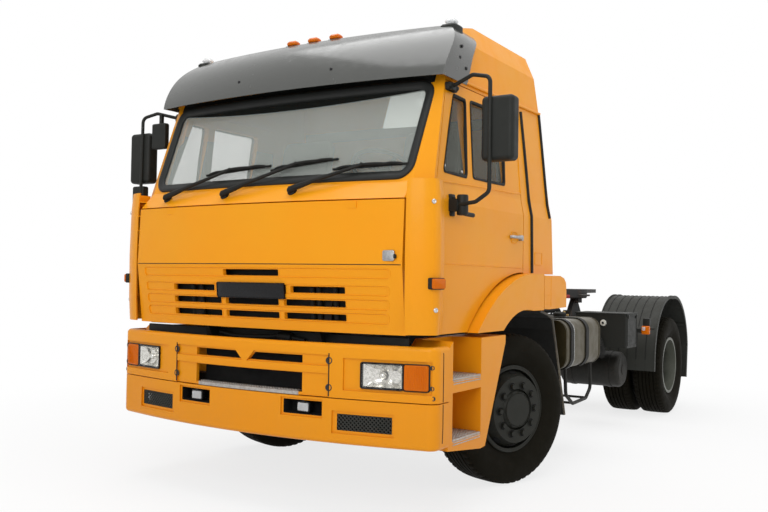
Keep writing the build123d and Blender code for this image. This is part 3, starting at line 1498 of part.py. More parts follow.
# ---------------------------------------------------------------- mirrors
MIRROR_TUBE_RADIUS = 12
MIRROR_HEAD = {"x": (1362, 1566), "y": (-1142, -1040), "z": (2085, 2462)}
# x, y and z of the arm's route from the upper bracket to the lower one
MIRROR_ARM = (
    (1128, -1060, 2556),
    (1300, -1120, 2600),
    (1424, -1146, 2570),
    (1428, -1150, 1905),
    (1340, -1146, 1850),
    (1205, -1130, 1836),
)

WIDE_MIRROR = {"x": (1402, 1520), "y": (-1152, -1092), "z": (1885, 2062)}
KERB_MIRROR = {"x": (1190, 1330), "y": (-1150, -1100), "z": (2330, 2520)}


def small_mirrors():
    """The right side's wide-angle head under the main one and its kerb head by the door."""
    with BuildPart(mode=Mode.PRIVATE) as heads:
        for head in (WIDE_MIRROR, KERB_MIRROR):
            block(
                mirrored(-1, head["x"]),
                (front(head["y"][0]), front(head["y"][1])),
                head["z"],
            )
        fillet(heads.edges(), 14)
        block(mirrored(-1, (1246, 1270)), (front(-1130), front(-1106)), (2500, 2590))
    return heads.part


for name, side in (("left", 1), ("right", -1)):
    with BuildPart() as mirror:
        block(
            mirrored(side, MIRROR_HEAD["x"]),
            (front(MIRROR_HEAD["y"][0]), front(MIRROR_HEAD["y"][1])),
            MIRROR_HEAD["z"],
        )
        fillet(mirror.edges(), 28)
        if side < 0:
            add(small_mirrors())
        with BuildLine() as route:
            points = [(side * x, front(y), z) for x, y, z in MIRROR_ARM]
            FilletPolyline(*points, radius=45)
        with BuildSketch(Plane(origin=points[0], z_dir=route.line % 0)) as tube:
            Circle(MIRROR_TUBE_RADIUS)
        sweep(tube.sketch, path=route.line)
        block(mirrored(side, (1170, 1222)), (front(-1155), front(-1105)), (1800, 1872))
        block(mirrored(side, (1106, 1150)), (front(-1085), front(-1035)), (2535, 2577))
        add(cab_solid(-FIT_GAP), mode=Mode.SUBTRACT)
    PIECES["mirror_" + name] = mirror

# ---------------------------------------------------------------- export
os.makedirs("parts", exist_ok=True)
for name, piece in PIECES.items():
    piece.part.label = name
    export_step(piece.part, f"parts/{name}.step")
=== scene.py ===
"""Looks, camera and light for a two-axle cab-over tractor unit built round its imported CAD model."""
import math
import bmesh
import bpy
import numpy as np
from mathutils import Matrix, Vector


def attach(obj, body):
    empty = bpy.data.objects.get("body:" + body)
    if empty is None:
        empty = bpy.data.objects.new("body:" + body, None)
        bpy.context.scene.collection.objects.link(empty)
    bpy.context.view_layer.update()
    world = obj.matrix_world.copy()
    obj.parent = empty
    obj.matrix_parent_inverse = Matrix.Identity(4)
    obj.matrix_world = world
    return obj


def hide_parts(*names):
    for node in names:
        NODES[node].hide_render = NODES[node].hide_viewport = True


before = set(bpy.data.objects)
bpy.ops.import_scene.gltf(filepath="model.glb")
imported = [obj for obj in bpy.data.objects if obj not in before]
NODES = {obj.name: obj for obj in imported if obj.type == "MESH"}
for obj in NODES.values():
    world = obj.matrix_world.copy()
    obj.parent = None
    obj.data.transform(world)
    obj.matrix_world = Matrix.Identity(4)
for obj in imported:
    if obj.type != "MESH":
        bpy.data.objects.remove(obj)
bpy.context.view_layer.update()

# ---------------------------------------------------------------- sizes shared by the pieces, in metres
FRONT_AXLE_Y = -1.530
REAR_AXLE_Y = 2.420
WHEELBASE = REAR_AXLE_Y - FRONT_AXLE_Y
REST_STEER = math.radians(-20.4)
UP = np.array((0.0, 0.0, 1.0))
TYRE_RADIUS = 0.516


# ---------------------------------------------------------------- finishes
class Wire:
    """One number or colour running through a material; arithmetic on it adds Math nodes."""

    def __init__(self, finish, socket):
        self.finish = finish
        self.socket = socket

    def maths(self, operation, *values):
        sockets = dict(enumerate(values))
        return self.finish.node("ShaderNodeMath", {"operation": operation}, sockets)

    def __add__(self, other):
        return self.maths("ADD", self, other)

    def __radd__(self, other):
        return self.maths("ADD", other, self)

    def __sub__(self, other):
        return self.maths("SUBTRACT", self, other)

    def __rsub__(self, other):
        return self.maths("SUBTRACT", other, self)

    def __mul__(self, other):
        return self.maths("MULTIPLY", self, other)

    def __rmul__(self, other):
        return self.maths("MULTIPLY", other, self)

    def __truediv__(self, other):
        return self.maths("DIVIDE", self, other)

    def __gt__(self, other):
        return self.maths("GREATER_THAN", self, other)

    def __lt__(self, other):
        return self.maths("LESS_THAN", self, other)

    def __pow__(self, other):
        return self.maths("POWER", self, other)

    def clamped(self):
        return self.ramp(0.0, 1.0)

    def ramp(self, low, high):
        """0 below low, 1 above high, smooth between."""
        sockets = {0: self, 1: low, 2: high, 3: 0.0, 4: 1.0}
        return self.finish.node("ShaderNodeMapRange", {"interpolation_type": "SMOOTHSTEP"}, sockets)

    def wave(self):
        return self.maths("SINE", self)

    def size(self):
        return self.maths("ABSOLUTE", self)


class Finish:
    """One material under construction: a shader and the nodes that feed it."""

    def __init__(self, name, roughness=0.5, metallic=0.0, **constants):
        self.material = bpy.data.materials.new(name)
        self.material.use_nodes = True
        self.tree = self.material.node_tree
        self.shader = self.tree.nodes["Principled BSDF"]
        self.put("Roughness", roughness)
        self.put("Metallic", metallic)
        for key, value in constants.items():
            self.put(key.replace("_", " "), value)
        self.position = self.node("ShaderNodeTexCoord", out="Object")
        parts = [self.node("ShaderNodeSeparateXYZ", None, {0: self.position}, out=i) for i in range(3)]
        self.x, self.y, self.z = parts

    def put(self, name, value):
        self.plug(self.shader.inputs[name], value)
        return self

    def plug(self, socket, value):
        if isinstance(value, Wire):
            self.tree.links.new(value.socket, socket)
        elif socket.type == "RGBA" and len(value) == 3:
            socket.default_value = (*value, 1.0)
        else:
            socket.default_value = value

    def node(self, kind, settings=None, sockets=None, out=0):
        """Adds one node: settings first, ramp stops included, then its sockets' values or links."""
        made = self.tree.nodes.new(kind)
        for key, value in (settings or {}).items():
            if key == "stops":
                for stop in value[2:]:
                    made.color_ramp.elements.new(stop[0])
                for element, (place, colour) in zip(made.color_ramp.elements, value):
                    element.position = place
                    element.color = (*colour, 1.0)
            else:
                setattr(made, key, value)
        for key, value in (sockets or {}).items():
            self.plug(made.inputs[key], value)
        return Wire(self, made.outputs[out])

    def noise(self, scale, detail=3.0, roughness=0.55, stretch=(1, 1, 1), position=None):
        place = position or self.position
        if stretch != (1, 1, 1):
            place = self.node("ShaderNodeMapping", None, {"Vector": place, "Scale": stretch})
        sockets = {"Vector": place, "Scale": scale, "Detail": detail, "Roughness": roughness}
        return self.node("ShaderNodeTexNoise", None, sockets)

    def mix(self, factor, first, second):
        """Colour from first to second as factor goes from 0 to 1."""
        return self.node("ShaderNodeMix", {"data_type": "RGBA"}, {0: factor, 6: first, 7: second}, out=2)

    def facing_up(self):
        normal = self.node("ShaderNodeNewGeometry", out="Normal")
        return self.node("ShaderNodeSeparateXYZ", None, {0: normal}, out=2)

    def colour(self, value):
        return self.put("Base Color", value)

    def bump(self, height, depth, strength=1.0):
        """Relief of the given depth in metres from a height between 0 and 1."""
        sockets = {"Strength": strength, "Distance": depth, "Height": height}
        return self.put("Normal", self.node("ShaderNodeBump", None, sockets))


def dusted(finish, base, dust, amount, low=0.3, high=1.5):
    """Base colour with road dust: patchy, thicker low down and on upward faces."""
    patches = finish.noise(3.1, 5.0, 0.6).ramp(0.35, 0.75)
    fine = finish.noise(38.0, 4.0, 0.65).ramp(0.3, 0.8)
    low_down = 1.0 - finish.z.ramp(low, high)
    upward = finish.facing_up().ramp(0.3, 1.0)
    cover = (patches * 0.5 + fine * 0.5) * (0.25 + low_down * 0.75) + upward * 0.2
    return finish.mix((cover * amount).clamped(), base, dust)


YELLOW = (0.82, 0.305, 0.006)
DUST = (0.30, 0.25, 0.19)


def inside_cab(finish):
    """1 on the cab's inner faces: a box that leans in above the waist and back at the windscreen."""
    side = 1.135 - 0.10 * (finish.z - 1.857).ramp(0.0, 0.8)
    rake = FRONT_AXLE_Y - 1.371 + 0.413 * (finish.z - 1.965) + 0.09
    within = (finish.x.size() < side) * (finish.y > rake) * (finish.y > FRONT_AXLE_Y - 1.40)
    rear = FRONT_AXLE_Y + 0.425 - 0.09 * (finish.z - 1.863)
    return within * (finish.z > 1.46) * (finish.z < 2.80) * (finish.y < rear)


def visor_shade_mask(finish):
    """1 on the cab's head above the windscreen, where the visor shades it; the finish paints near-black shade
    there.
    """
    band = (finish.z > 2.585) * (finish.z < 2.78)
    return band * (finish.x.size() < 1.045) * (finish.y < FRONT_AXLE_Y - 1.0)


def yellow_finish(name, roughness, coat, dust_amount, lined=False):
    """Orange-yellow coat, faintly rippled and faded, darker low down as painted shade, dusty near the road;
    grey cloth inside the cab, and near-black painted shade of the visor above the windscreen.
    """
    made = Finish(name, Coat_Roughness=0.10, Specular_IOR_Level=0.14)
    fading = made.noise(1.7, 3.0).ramp(0.3, 0.75)
    paint = made.mix(fading, YELLOW, (0.80, 0.320, 0.008))
    # painted shade: the coat turns darker and deeper orange towards the bottom
    paint = made.mix(0.55 - 0.55 * made.z.ramp(0.2, 1.7), paint, (0.62, 0.205, 0.003))
    outside = dusted(made, paint, (0.40, 0.22, 0.06), dust_amount, 0.35, 1.25)
    if lined:
        lining = made.mix(made.noise(300.0, 3.0), (0.10, 0.10, 0.098), (0.15, 0.15, 0.147))
        outside = made.mix(inside_cab(made), outside, lining)
        # painted shade: near black on the cab's head above the windscreen, under the visor
        outside = made.mix(visor_shade_mask(made), outside, (0.010, 0.011, 0.010))
    made.colour(outside)
    made.put("Coat Weight", coat)
    made.put("Roughness", roughness + 0.12 * made.noise(9.0, 4.0).ramp(0.35, 0.8))
    made.bump(made.noise(160.0, 2.0), 0.0005, 0.12)
    return made.material


def black_finish(
    name, colour, roughness, dust, dust_amount, grain=420.0, depth=0.0004, metallic=0.0, gloss=0.22,
):
    """Dark plastic, rubber or chassis paint with a fine grain and road dust."""
    made = Finish(name, metallic=metallic, Specular_IOR_Level=gloss)
    made.colour(dusted(made, colour, dust, dust_amount, 0.2, 1.3))
    made.put("Roughness", roughness + 0.15 * made.noise(14.0, 4.0).ramp(0.3, 0.8))
    made.bump(made.noise(grain, 3.0), depth, 0.5)
    return made.material


def glass_finish(name, tint, alpha, band=False):
    """Thin tinted pane with gloss and faint smears, and, if asked, a dark band of painted shade from the
    visor along its top.
    """
    made = Finish(name, IOR=1.5)
    smears = made.noise(2.3, 4.0, 0.6, (1, 1, 0.5)).ramp(0.4, 0.8)
    shade = (made.z - 0.055 * made.x * made.x).ramp(2.480, 2.490) if band else made.z * 0.0
    made.colour(made.mix(shade, tint, (0.010, 0.011, 0.010)))
    made.put("Roughness", 0.015 + 0.05 * smears)
    made.put("Alpha", alpha + 0.06 * smears + 0.64 * shade)
    return made.material


def dished_finish(name, colour, deep):
    """Rear wheel paint: light on the rim and hub, with painted shade deep in the dish between them and
    patches of dirt.
    """
    made = Finish(name, roughness=0.42, Specular_IOR_Level=0.35)
    along = made.y - REAR_AXLE_Y
    up = made.z - TYRE_RADIUS
    radius = (along * along + up * up) ** 0.5
    # painted shade: the recessed dish between rim and hub is coloured dark
    dish = (1.0 - made.x.size().ramp(0.99, 1.17)) * radius.ramp(0.125, 0.140)
    grime_and_shade = (dish + 0.25 * made.noise(7.0, 4.0).ramp(0.4, 0.7)).clamped()
    made.colour(made.mix(grime_and_shade, colour, deep))
    made.bump(made.noise(300.0, 3.0), 0.0004, 0.4)
    return made.material


def metal_finish(name, colour, roughness, metallic=1.0, brushed=(1, 1, 1)):
    """Bare or plated metal with a brushed or cast grain."""
    made = Finish(name, metallic=metallic)
    grain = made.noise(60.0, 4.0, 0.6, brushed)
    made.colour(made.mix(grain.ramp(0.35, 0.7), colour, tuple(0.72 * c for c in colour)))
    made.put("Roughness", roughness + 0.2 * grain)
    made.bump(grain, 0.0005, 0.3)
    return made.material


def cast_finish(name, colour, rust_amount):
    """Rough cast iron or forging with rust patches and settled dust."""
    made = Finish(name, metallic=0.2)
    rust = made.noise(7.0, 6.0, 0.65).ramp(0.5, 0.72) * rust_amount
    bare = made.mix(rust, colour, (0.17, 0.075, 0.035))
    made.colour(dusted(made, bare, DUST, 0.5, 0.1, 1.2))
    made.put("Roughness", 0.62 + 0.25 * rust)
    made.bump(made.noise(180.0, 4.0), 0.0012, 0.6)
    return made.material


def cloth_finish(name, colour, second):
    """Woven seat cloth: two crossed sets of threads, three millimetres apart."""
    made = Finish(name, roughness=0.9, Sheen_Weight=0.3)
    threads = (made.x * 2100.0).wave() * ((made.z + made.y) * 2100.0).wave()
    mottled = made.noise(55.0, 3.0).ramp(0.35, 0.7)
    made.colour(made.mix(mottled, colour, second))
    made.bump(threads * 0.5 + 0.5, 0.0006, 0.5)
    return made.material


FINISHES = {
    "body yellow": yellow_finish("body yellow", 0.30, 0.10, 0.12),
    "lined yellow": yellow_finish("lined yellow", 0.30, 0.10, 0.12, lined=True),
    "panel yellow": yellow_finish("panel yellow", 0.34, 0.08, 0.22),
    "chassis black": black_finish("chassis black", (0.012, 0.012, 0.010), 0.5, DUST, 0.16),
    "moulded black": black_finish("moulded black", (0.012, 0.013, 0.011), 0.5, DUST, 0.10, 900.0, 0.0003),
    "mudguard black": black_finish("mudguard black", (0.026, 0.027, 0.023), 0.5, DUST, 0.14, 700.0, 0.0004),
    "tyre rubber": black_finish(
        "tyre rubber", (0.007, 0.006, 0.0035), 0.74, (0.040, 0.030, 0.014), 0.15, 260.0, 0.0006, gloss=0.08,
    ),
    "soft rubber": black_finish("soft rubber", (0.010, 0.010, 0.009), 0.62, DUST, 0.10),
    "wheel dark": black_finish(
        "wheel dark", (0.013, 0.0135, 0.010), 0.40, (0.06, 0.05, 0.035), 0.25, 300.0, 0.0004, 0.2,
    ),
    "wheel grey": dished_finish("wheel grey", (0.115, 0.12, 0.098), (0.014, 0.014, 0.011)),
    "cast iron": cast_finish("cast iron", (0.05, 0.048, 0.045), 0.6),
    "engine iron": cast_finish("engine iron", (0.16, 0.16, 0.165), 0.25),
    "greased steel": cast_finish("greased steel", (0.02, 0.02, 0.02), 0.35),
    "tank paint": black_finish(
        "tank paint", (0.062, 0.050, 0.023), 0.34, (0.10, 0.085, 0.045), 0.16, 300.0, 0.0003, metallic=0.7,
    ),
    "smoked acrylic": black_finish(
        "smoked acrylic", (0.056, 0.058, 0.053), 0.14, DUST, 0.02, 60.0, 0.0002, gloss=0.7,
    ),
    "windscreen glass": glass_finish("windscreen glass", (0.50, 0.54, 0.50), 0.31, band=True),
    "door glass": glass_finish("door glass", (0.22, 0.235, 0.190), 0.19),
    "lamp glass": glass_finish("lamp glass", (0.6, 0.60, 0.57), 0.10),
    "amber lens": black_finish(
        "amber lens", (0.58, 0.125, 0.002), 0.14, DUST, 0.06, 60.0, 0.0001, gloss=0.12,
    ),
    "seat cloth": cloth_finish("seat cloth", (0.045, 0.047, 0.052), (0.07, 0.072, 0.08)),
    "dash plastic": black_finish("dash plastic", (0.07, 0.07, 0.072), 0.6, DUST, 0.1, 600.0, 0.0004),
    "dark lining": black_finish("dark lining", (0.016, 0.018, 0.017), 0.7, DUST, 0.05, 300.0, 0.0004),
    "screen rubber": black_finish("screen rubber", (0.014, 0.015, 0.014), 0.42, DUST, 0.08),
    "gloss black": black_finish("gloss black", (0.008, 0.008, 0.009), 0.22, DUST, 0.1, 60.0, 0.0001),
    # near-black stand-in for the shade seen in openings and recesses: painted shade
    "deep black": black_finish("deep black", (0.003, 0.003, 0.003), 0.8, DUST, 0.05),
    "paper": black_finish("paper", (0.86, 0.88, 0.86), 0.8, (0.7, 0.7, 0.67), 0.3, 200.0, 0.0002),
    "pale plastic": black_finish("pale plastic", (0.55, 0.55, 0.50), 0.5, (0.3, 0.28, 0.22), 0.5),
    # painted shade: yellow darkened by a heavy coat of the dust colour, for pockets, lips and seams in shade
    "shadow yellow": yellow_finish("shadow yellow", 0.45, 0.05, 0.7),
    "worn edge": black_finish("worn edge", (0.06, 0.055, 0.045), 0.5, (0.30, 0.25, 0.18), 1.0),
    "bright steel": metal_finish("bright steel", (0.52, 0.52, 0.52), 0.25),
    "satin steel": metal_finish("satin steel", (0.42, 0.42, 0.42), 0.38),
    "tread aluminium": metal_finish("tread aluminium", (0.46, 0.44, 0.41), 0.38),
    "chrome": metal_finish("chrome", (0.85, 0.83, 0.78), 0.05),
    "frosted lens": glass_finish("frosted lens", (0.75, 0.77, 0.78), 0.55),
    "brass": metal_finish("brass", (0.45, 0.30, 0.12), 0.35),
    "red plastic": black_finish("red plastic", (0.40, 0.05, 0.05), 0.45, DUST, 0.4),
    "red lens": black_finish("red lens", (0.45, 0.012, 0.012), 0.15, DUST, 0.25, 60.0, 0.0001),
    "orange plastic": black_finish("orange plastic", (0.75, 0.22, 0.02), 0.4, DUST, 0.3),
}

NODE_FINISHES = {
    "body yellow": "front_flap",
    "lined yellow": "cab_shell door_left door_right",
    "panel yellow": (
        "roof_fairing grille_panel corner_deflectors wheel_arches "
        "bumper_upper bumper_lower step_boxes rear_arches"
    ),
    "chassis black": "frame bumper_beam tank_guards air_tanks cab_mounts cab_tilt_tube",
    "moulded black": "mirror_left mirror_right side_boxes radiator steering_wheel",
    "mudguard black": "rear_mudguards",
    "soft rubber": "mud_flaps",
    "tyre rubber": "tyre_front_left tyre_front_right tyre_rear_left tyre_rear_right",
    "wheel dark": "wheel_front_left wheel_front_right",
    "wheel grey": "wheel_rear_left wheel_rear_right",
    "cast iron": "front_axle rear_axle leaf_springs driveline knuckle_left knuckle_right tie_rod",
    "engine iron": "engine_block",
    "greased steel": "fifth_wheel_base fifth_wheel_plate",
    "tank paint": "fuel_tanks",
    "smoked acrylic": "sun_visor",
    "windscreen glass": "windscreen",
    "door glass": "door_glass_left door_glass_right",
    "lamp glass": "headlamps",
    "amber lens": "turn_signals roof_lamps",
    "red lens": "tail_lamps",
    "seat cloth": "seats bunk",
    "dash plastic": "dashboard",
}
for finish_name, node_names in NODE_FINISHES.items():
    for node_name in node_names.split():
        mesh = NODES[node_name].data
        mesh.materials.clear()
        mesh.materials.append(FINISHES[finish_name])

# ---------------------------------------------------------------- shapes worked out on grids
MIRROR = np.array((-1.0, 1.0, 1.0))


def quads(rows, columns, wrap_rows):
    """Faces of rows of points, each row closed on itself; point r, c is number r * columns + c."""
    row = np.arange(rows if wrap_rows else rows - 1)[:, None] * columns
    column = np.arange(columns)[None, :]
    after = (column + 1) % columns
    above = (row + columns) % (rows * columns)
    return np.stack([row + column, row + after, above + after, above + column], -1).reshape(-1, 4)


class Shape:
    """Points and faces of one piece, gathered part by part, in metres from the front axle."""

    def __init__(self):
        self.points = []
        self.faces = []
        self.count = 0

    def rings(self, stack, wrapped=False):
        """Skin through a stack of closed rings; its ends are capped, or joined when wrapped."""
        stack = np.asarray(stack, float)
        rows, columns = stack.shape[:2]
        self.faces += (quads(rows, columns, wrapped) + self.count).tolist()
        if not wrapped:
            first = np.arange(columns) + self.count
            self.faces += [first[::-1].tolist(), (first + (rows - 1) * columns).tolist()]
        self.points.append(stack.reshape(-1, 3))
        self.count += rows * columns
        return self

    def mirrored(self):
        """Adds the other side's copy of all that is gathered so far."""
        copies = [self.count + np.asarray(face)[::-1] for face in self.faces]
        self.faces += [face.tolist() for face in copies]
        self.points.append(np.concatenate(self.points) * MIRROR)
        self.count *= 2
        return self

    def __add__(self, other):
        joined = Shape()
        joined.points = self.points + other.points
        joined.faces = self.faces + [(np.asarray(face) + self.count).tolist() for face in other.faces]
        joined.count = self.count + other.count
        return joined


def piece(name, body, finish, shape, crease=35.0, replaced=()):
    """Object from a shape: faces outwards, smooth below the crease angle, riding on its body."""
    mesh = bpy.data.meshes.new(name)
    points = np.concatenate(shape.points) + (0, FRONT_AXLE_Y, 0)
    mesh.from_pydata(points.tolist(), [], shape.faces)
    form = bmesh.new()
    form.from_mesh(mesh)
    bmesh.ops.recalc_face_normals(form, faces=form.faces)
    form.to_mesh(mesh)
    form.free()
    mesh.polygons.foreach_set("use_smooth", np.ones(len(mesh.polygons), bool))
    mesh.set_sharp_from_angle(angle=math.radians(crease))
    mesh.materials.append(FINISHES[finish])
    made = bpy.data.objects.new(name, mesh)
    bpy.context.scene.collection.objects.link(made)
    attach(made, body)
    if replaced:
        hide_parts(*replaced)
    return made


def rounded(centre, size, radius, along=1, corner=5):
    """Outline of a rounded rectangle as a function of how far it is drawn in.

    Each corner is a quarter circle of `corner` steps, and each edge between two corners is cut
    into `along` runs so that the outline can follow a bowed surface.
    """
    centre, size = np.asarray(centre, float), np.asarray(size, float)
    turn = np.linspace(0, math.pi / 2, corner)

    def outline(inset):
        half = size / 2 - inset
        bend = min(max(radius - inset, 0.0004), half.min() * 0.999)
        quarters = []
        for step, (x, z) in enumerate(((1, 1), (-1, 1), (-1, -1), (1, -1))):
            angle = turn + step * math.pi / 2
            middle = (half - bend) * (x, z)
            quarters.append(middle + bend * np.stack([np.cos(angle), np.sin(angle)], -1))
        points = np.concatenate(quarters)
        following = np.roll(points, -1, axis=0)
        share = np.arange(along)[None, :, None] / along
        ends = np.arange(1, 5) * corner - 1
        runs = points[ends][:, None] + share * (following[ends] - points[ends])[:, None]
        parts = [part for k in range(4) for part in (quarters[k][:-1], runs[k])]
        return centre + np.concatenate(parts)

    return outline


def laid(outline, surface, profile):
    """Rings of an outline laid on a surface, one for each (inset, lift) of the profile."""
    return np.stack([surface(outline(inset), lift) for inset, lift in profile])


def pad_profile(thickness, bevel, depth=0.002):
    """Section of a flat piece with a bevelled upper edge, let into its surface by depth."""
    return ((0, -depth), (0, thickness - bevel), (bevel * 0.3, thickness - bevel * 0.3), (bevel, thickness))


def lip_profile(width, height, depth=0.002):
    """Closed section of a rounded lip that runs round an outline."""
    return (
        (0, -depth),
        (0, height * 0.6),
        (width * 0.25, height),
        (width * 0.75, height),
        (width, height * 0.6),
        (width, -depth),
    )


def plane(origin, across, up):
    """Flat surface through origin; lift goes along across x up."""
    origin, across, up = (np.asarray(v, float) for v in (origin, across, up))
    out = np.cross(across, up)

    def surface(points, lift):
        return origin + points[:, :1] * across + points[:, 1:] * up + lift * out

    return surface


def tube(path, radius, sides=8):
    """Rings of a round tube: at each point of the path a circle square to the run there."""
    path = np.asarray(path, float)
    run = np.gradient(path, axis=0)
    run /= np.linalg.norm(run, axis=1, keepdims=True)
    steady = np.linalg.svd(run)[2][-1]
    side = np.cross(run, steady)
    side /= np.linalg.norm(side, axis=1, keepdims=True)
    up = np.cross(side, run)
    turn = np.linspace(0, 2 * math.pi, sides, endpoint=False)[:, None]
    circle = np.cos(turn) * side[:, None] + np.sin(turn) * up[:, None]
    return path[:, None] + np.broadcast_to(radius, len(path))[:, None, None] * circle


def flowing(points, steps=6):
    """Smooth curve through points: between two of them, a cubic with slopes from the neighbours."""
    points = np.asarray(points, float)
    slope = np.gradient(points, axis=0)
    t = np.linspace(0, 1, steps, endpoint=False)[None, :, None]
    a, b = points[:-1, None], points[1:, None]
    p, q = slope[:-1, None], slope[1:, None]
    curve = (2 * t**3 - 3 * t**2 + 1) * a + (t**3 - 2 * t**2 + t) * p
    curve = curve + (3 * t**2 - 2 * t**3) * b + (t**3 - t**2) * q
    return np.concatenate([curve.reshape(-1, points.shape[1]), points[-1:]])


def turned(profile, centre, axis, steps=24):
    """Rings of (radius, along) points turned about the axis through centre."""
    profile = np.asarray(profile, float)
    axis = np.asarray(axis, float) / np.linalg.norm(axis)
    first = np.cross(axis, (0.0, 0.1, 1.0))
    first /= np.linalg.norm(first)
    second = np.cross(axis, first)
    turn = np.linspace(0, 2 * math.pi, steps, endpoint=False)[:, None]
    spoke = np.cos(turn) * first + np.sin(turn) * second
    return np.asarray(centre, float) + profile[:, :1, None] * spoke + profile[:, 1:, None] * axis


def button(radius, height, centre, axis, steps=14):
    """Rings of a low domed round head."""
    section = ((radius, -0.003), (radius, height * 0.5), (radius * 0.8, height * 0.9), (radius * 0.4, height))
    return turned(section, centre, axis, steps)


def brick(low, high, bevel=0.004):
    """Rings of a box between two corners with bevelled edges, stacked along z."""
    low, high = np.asarray(low, float), np.asarray(high, float)
    size = high - low
    outline = rounded((low[:2] + high[:2]) / 2, size[:2], bevel, corner=3)
    flat = plane((0, 0, low[2]), (1, 0, 0), (0, 1, 0))
    section = ((bevel, 0), (0, bevel), (0, size[2] - bevel), (bevel, size[2]))
    return laid(outline, flat, section)


# ---------------------------------------------------------------- surfaces of the cab and bumper
SKIN_ZS = (1.078, 1.476, 1.849)
SKIN_CORNERS = (-1.446, -1.495, -1.478)
SKIN_HALF = 1.060
BOW = 0.070
SCREEN_LOW = (1.965, 1.050, -1.371)
SCREEN_HIGH = (2.640, 1.070, -1.092)
SCREEN_NORMAL = np.array((0.0, -0.924, 0.382))
BUMPER_XS = (1.060, 1.190, 1.234, 1.250)
BUMPER_YS = (-1.466, -1.437, -1.413, -1.368)
BUMPER_MIDDLE = -1.590
SIDE_ZS = (1.857, 1.965, 2.640)
SIDE_XS = (1.170, 1.150, 1.100)
SIDES = ((1, "left"), (-1, "right"))


def flap_surface(points, lift):
    """Bowed front skin: y falls off with the square of x from the middle to the corner."""
    x, z = points[:, 0], points[:, 1]
    y = np.interp(z, SKIN_ZS, SKIN_CORNERS) - BOW * (1 - (x / SKIN_HALF) ** 2)
    return np.stack([x, y - lift, z], -1)


def screen_surface(points, lift):
    """Raked windscreen plane, bowed like the skin below it."""
    x, z = points[:, 0], points[:, 1]
    share = (z - SCREEN_LOW[0]) / (SCREEN_HIGH[0] - SCREEN_LOW[0])
    half = SCREEN_LOW[1] + share * (SCREEN_HIGH[1] - SCREEN_LOW[1])
    y = SCREEN_LOW[2] + share * (SCREEN_HIGH[2] - SCREEN_LOW[2]) - BOW * (1 - (x / half) ** 2)
    return np.stack([x, y, z], -1) + lift * SCREEN_NORMAL


def bumper_surface(points, lift):
    """Bumper skin: a parabola to the corner, then straight runs that turn rearwards."""
    x, z = points[:, 0], points[:, 1]
    bowed = BUMPER_MIDDLE + (BUMPER_YS[0] - BUMPER_MIDDLE) * (x / BUMPER_XS[0]) ** 2
    y = np.where(np.abs(x) < BUMPER_XS[0], bowed, np.interp(np.abs(x), BUMPER_XS, BUMPER_YS))
    return np.stack([x, y - lift, z], -1)


def side_surface(points, lift):
    """Left side of the cab: upright below the waist and leaning in above it; points are y, z."""
    y, z = points[:, 0], points[:, 1]
    return np.stack([np.interp(z, SIDE_ZS, SIDE_XS) + lift, y, z], -1)


def rail_path(surface, points, steps=6):
    """Smooth path through (u, v) points on a surface, where each point may carry its own lift."""
    points = flowing(points, steps)
    stations = [surface(points[:, :2], 0.0), surface(points[:, :2], 1.0)]
    return stations[0] + (stations[1] - stations[0]) * points[:, 2:]


def spot(surface, u, v, lift=0.0):
    """One point of a surface."""
    return surface(np.array(((u, v),)), lift)[0]


def upright(x, low, high, count):
    """Evenly spaced (x, z) points of an upright line."""
    return np.stack([np.full(count, x), np.linspace(low, high, count)], -1)


def facing_side(*origin):
    """Upright plane that faces the vehicle's left."""
    return plane(origin, (0, 1, 0), (0, 0, 1))


# ---------------------------------------------------------------- windscreen and wipers
SCREEN_MIDDLE_Z = 2.2875
SCREEN_SIZE = (2.040, 0.569)


def screen_outline(inset):
    """Rounded opening, a little wider at the top than at the bottom."""
    points = rounded((0, SCREEN_MIDDLE_Z), SCREEN_SIZE, 0.070, along=24, corner=8)(inset)
    points[:, 0] *= 1 + (points[:, 1] - SCREEN_MIDDLE_Z) * 0.035
    return points


rubber_section = (
    (0.026, -0.014), (0.026, -0.004), (0.018, 0.004), (0.004, 0.007),
    (-0.008, 0.013), (-0.022, 0.013), (-0.030, 0.006), (-0.031, -0.002),
)
rubber = Shape().rings(laid(screen_outline, screen_surface, rubber_section), wrapped=True)
piece("windscreen_rubber", "cab", "screen rubber", rubber, crease=50)

# dark sheet over the top of the glass, under the visor: painted shade of the visor at the head of the opening
head = rounded((0, 2.618), (2.050, 0.120), 0.030, along=24)
visor_shade_shape = Shape().rings(laid(head, screen_surface, ((0, -0.004), (0, 0.0025), (0.003, 0.0035))))
piece("visor_shade_sheet", "cab", "screen rubber", visor_shade_shape)

paper_outline = rounded((0.896, 2.428), (0.276, 0.232), 0.012, along=4)
paper = Shape().rings(laid(paper_outline, screen_surface, ((0, -0.0205), (0, -0.0200))))
piece("paper_on_glass", "cab", "paper", paper)

# pivot x and z on the cowl, then the blade's two ends on the glass
WIPERS = (
    ((-0.828, 1.912), (-0.544, 2.069), (0.012, 2.104)),
    ((-0.279, 1.913), (0.024, 2.072), (0.518, 2.121)),
    ((0.265, 1.918), (0.500, 2.054), (1.000, 2.069)),
)


def cowl_point(point, lift):
    """Point on the sloped cowl under the glass, raised along the screen's normal."""
    x, z = point
    bowed = BOW * (1 - (x / SCREEN_LOW[1]) ** 2)
    return np.array((x, SCREEN_LOW[2] - 0.103 * (1.965 - z) / 0.108 - bowed, z)) + lift * SCREEN_NORMAL


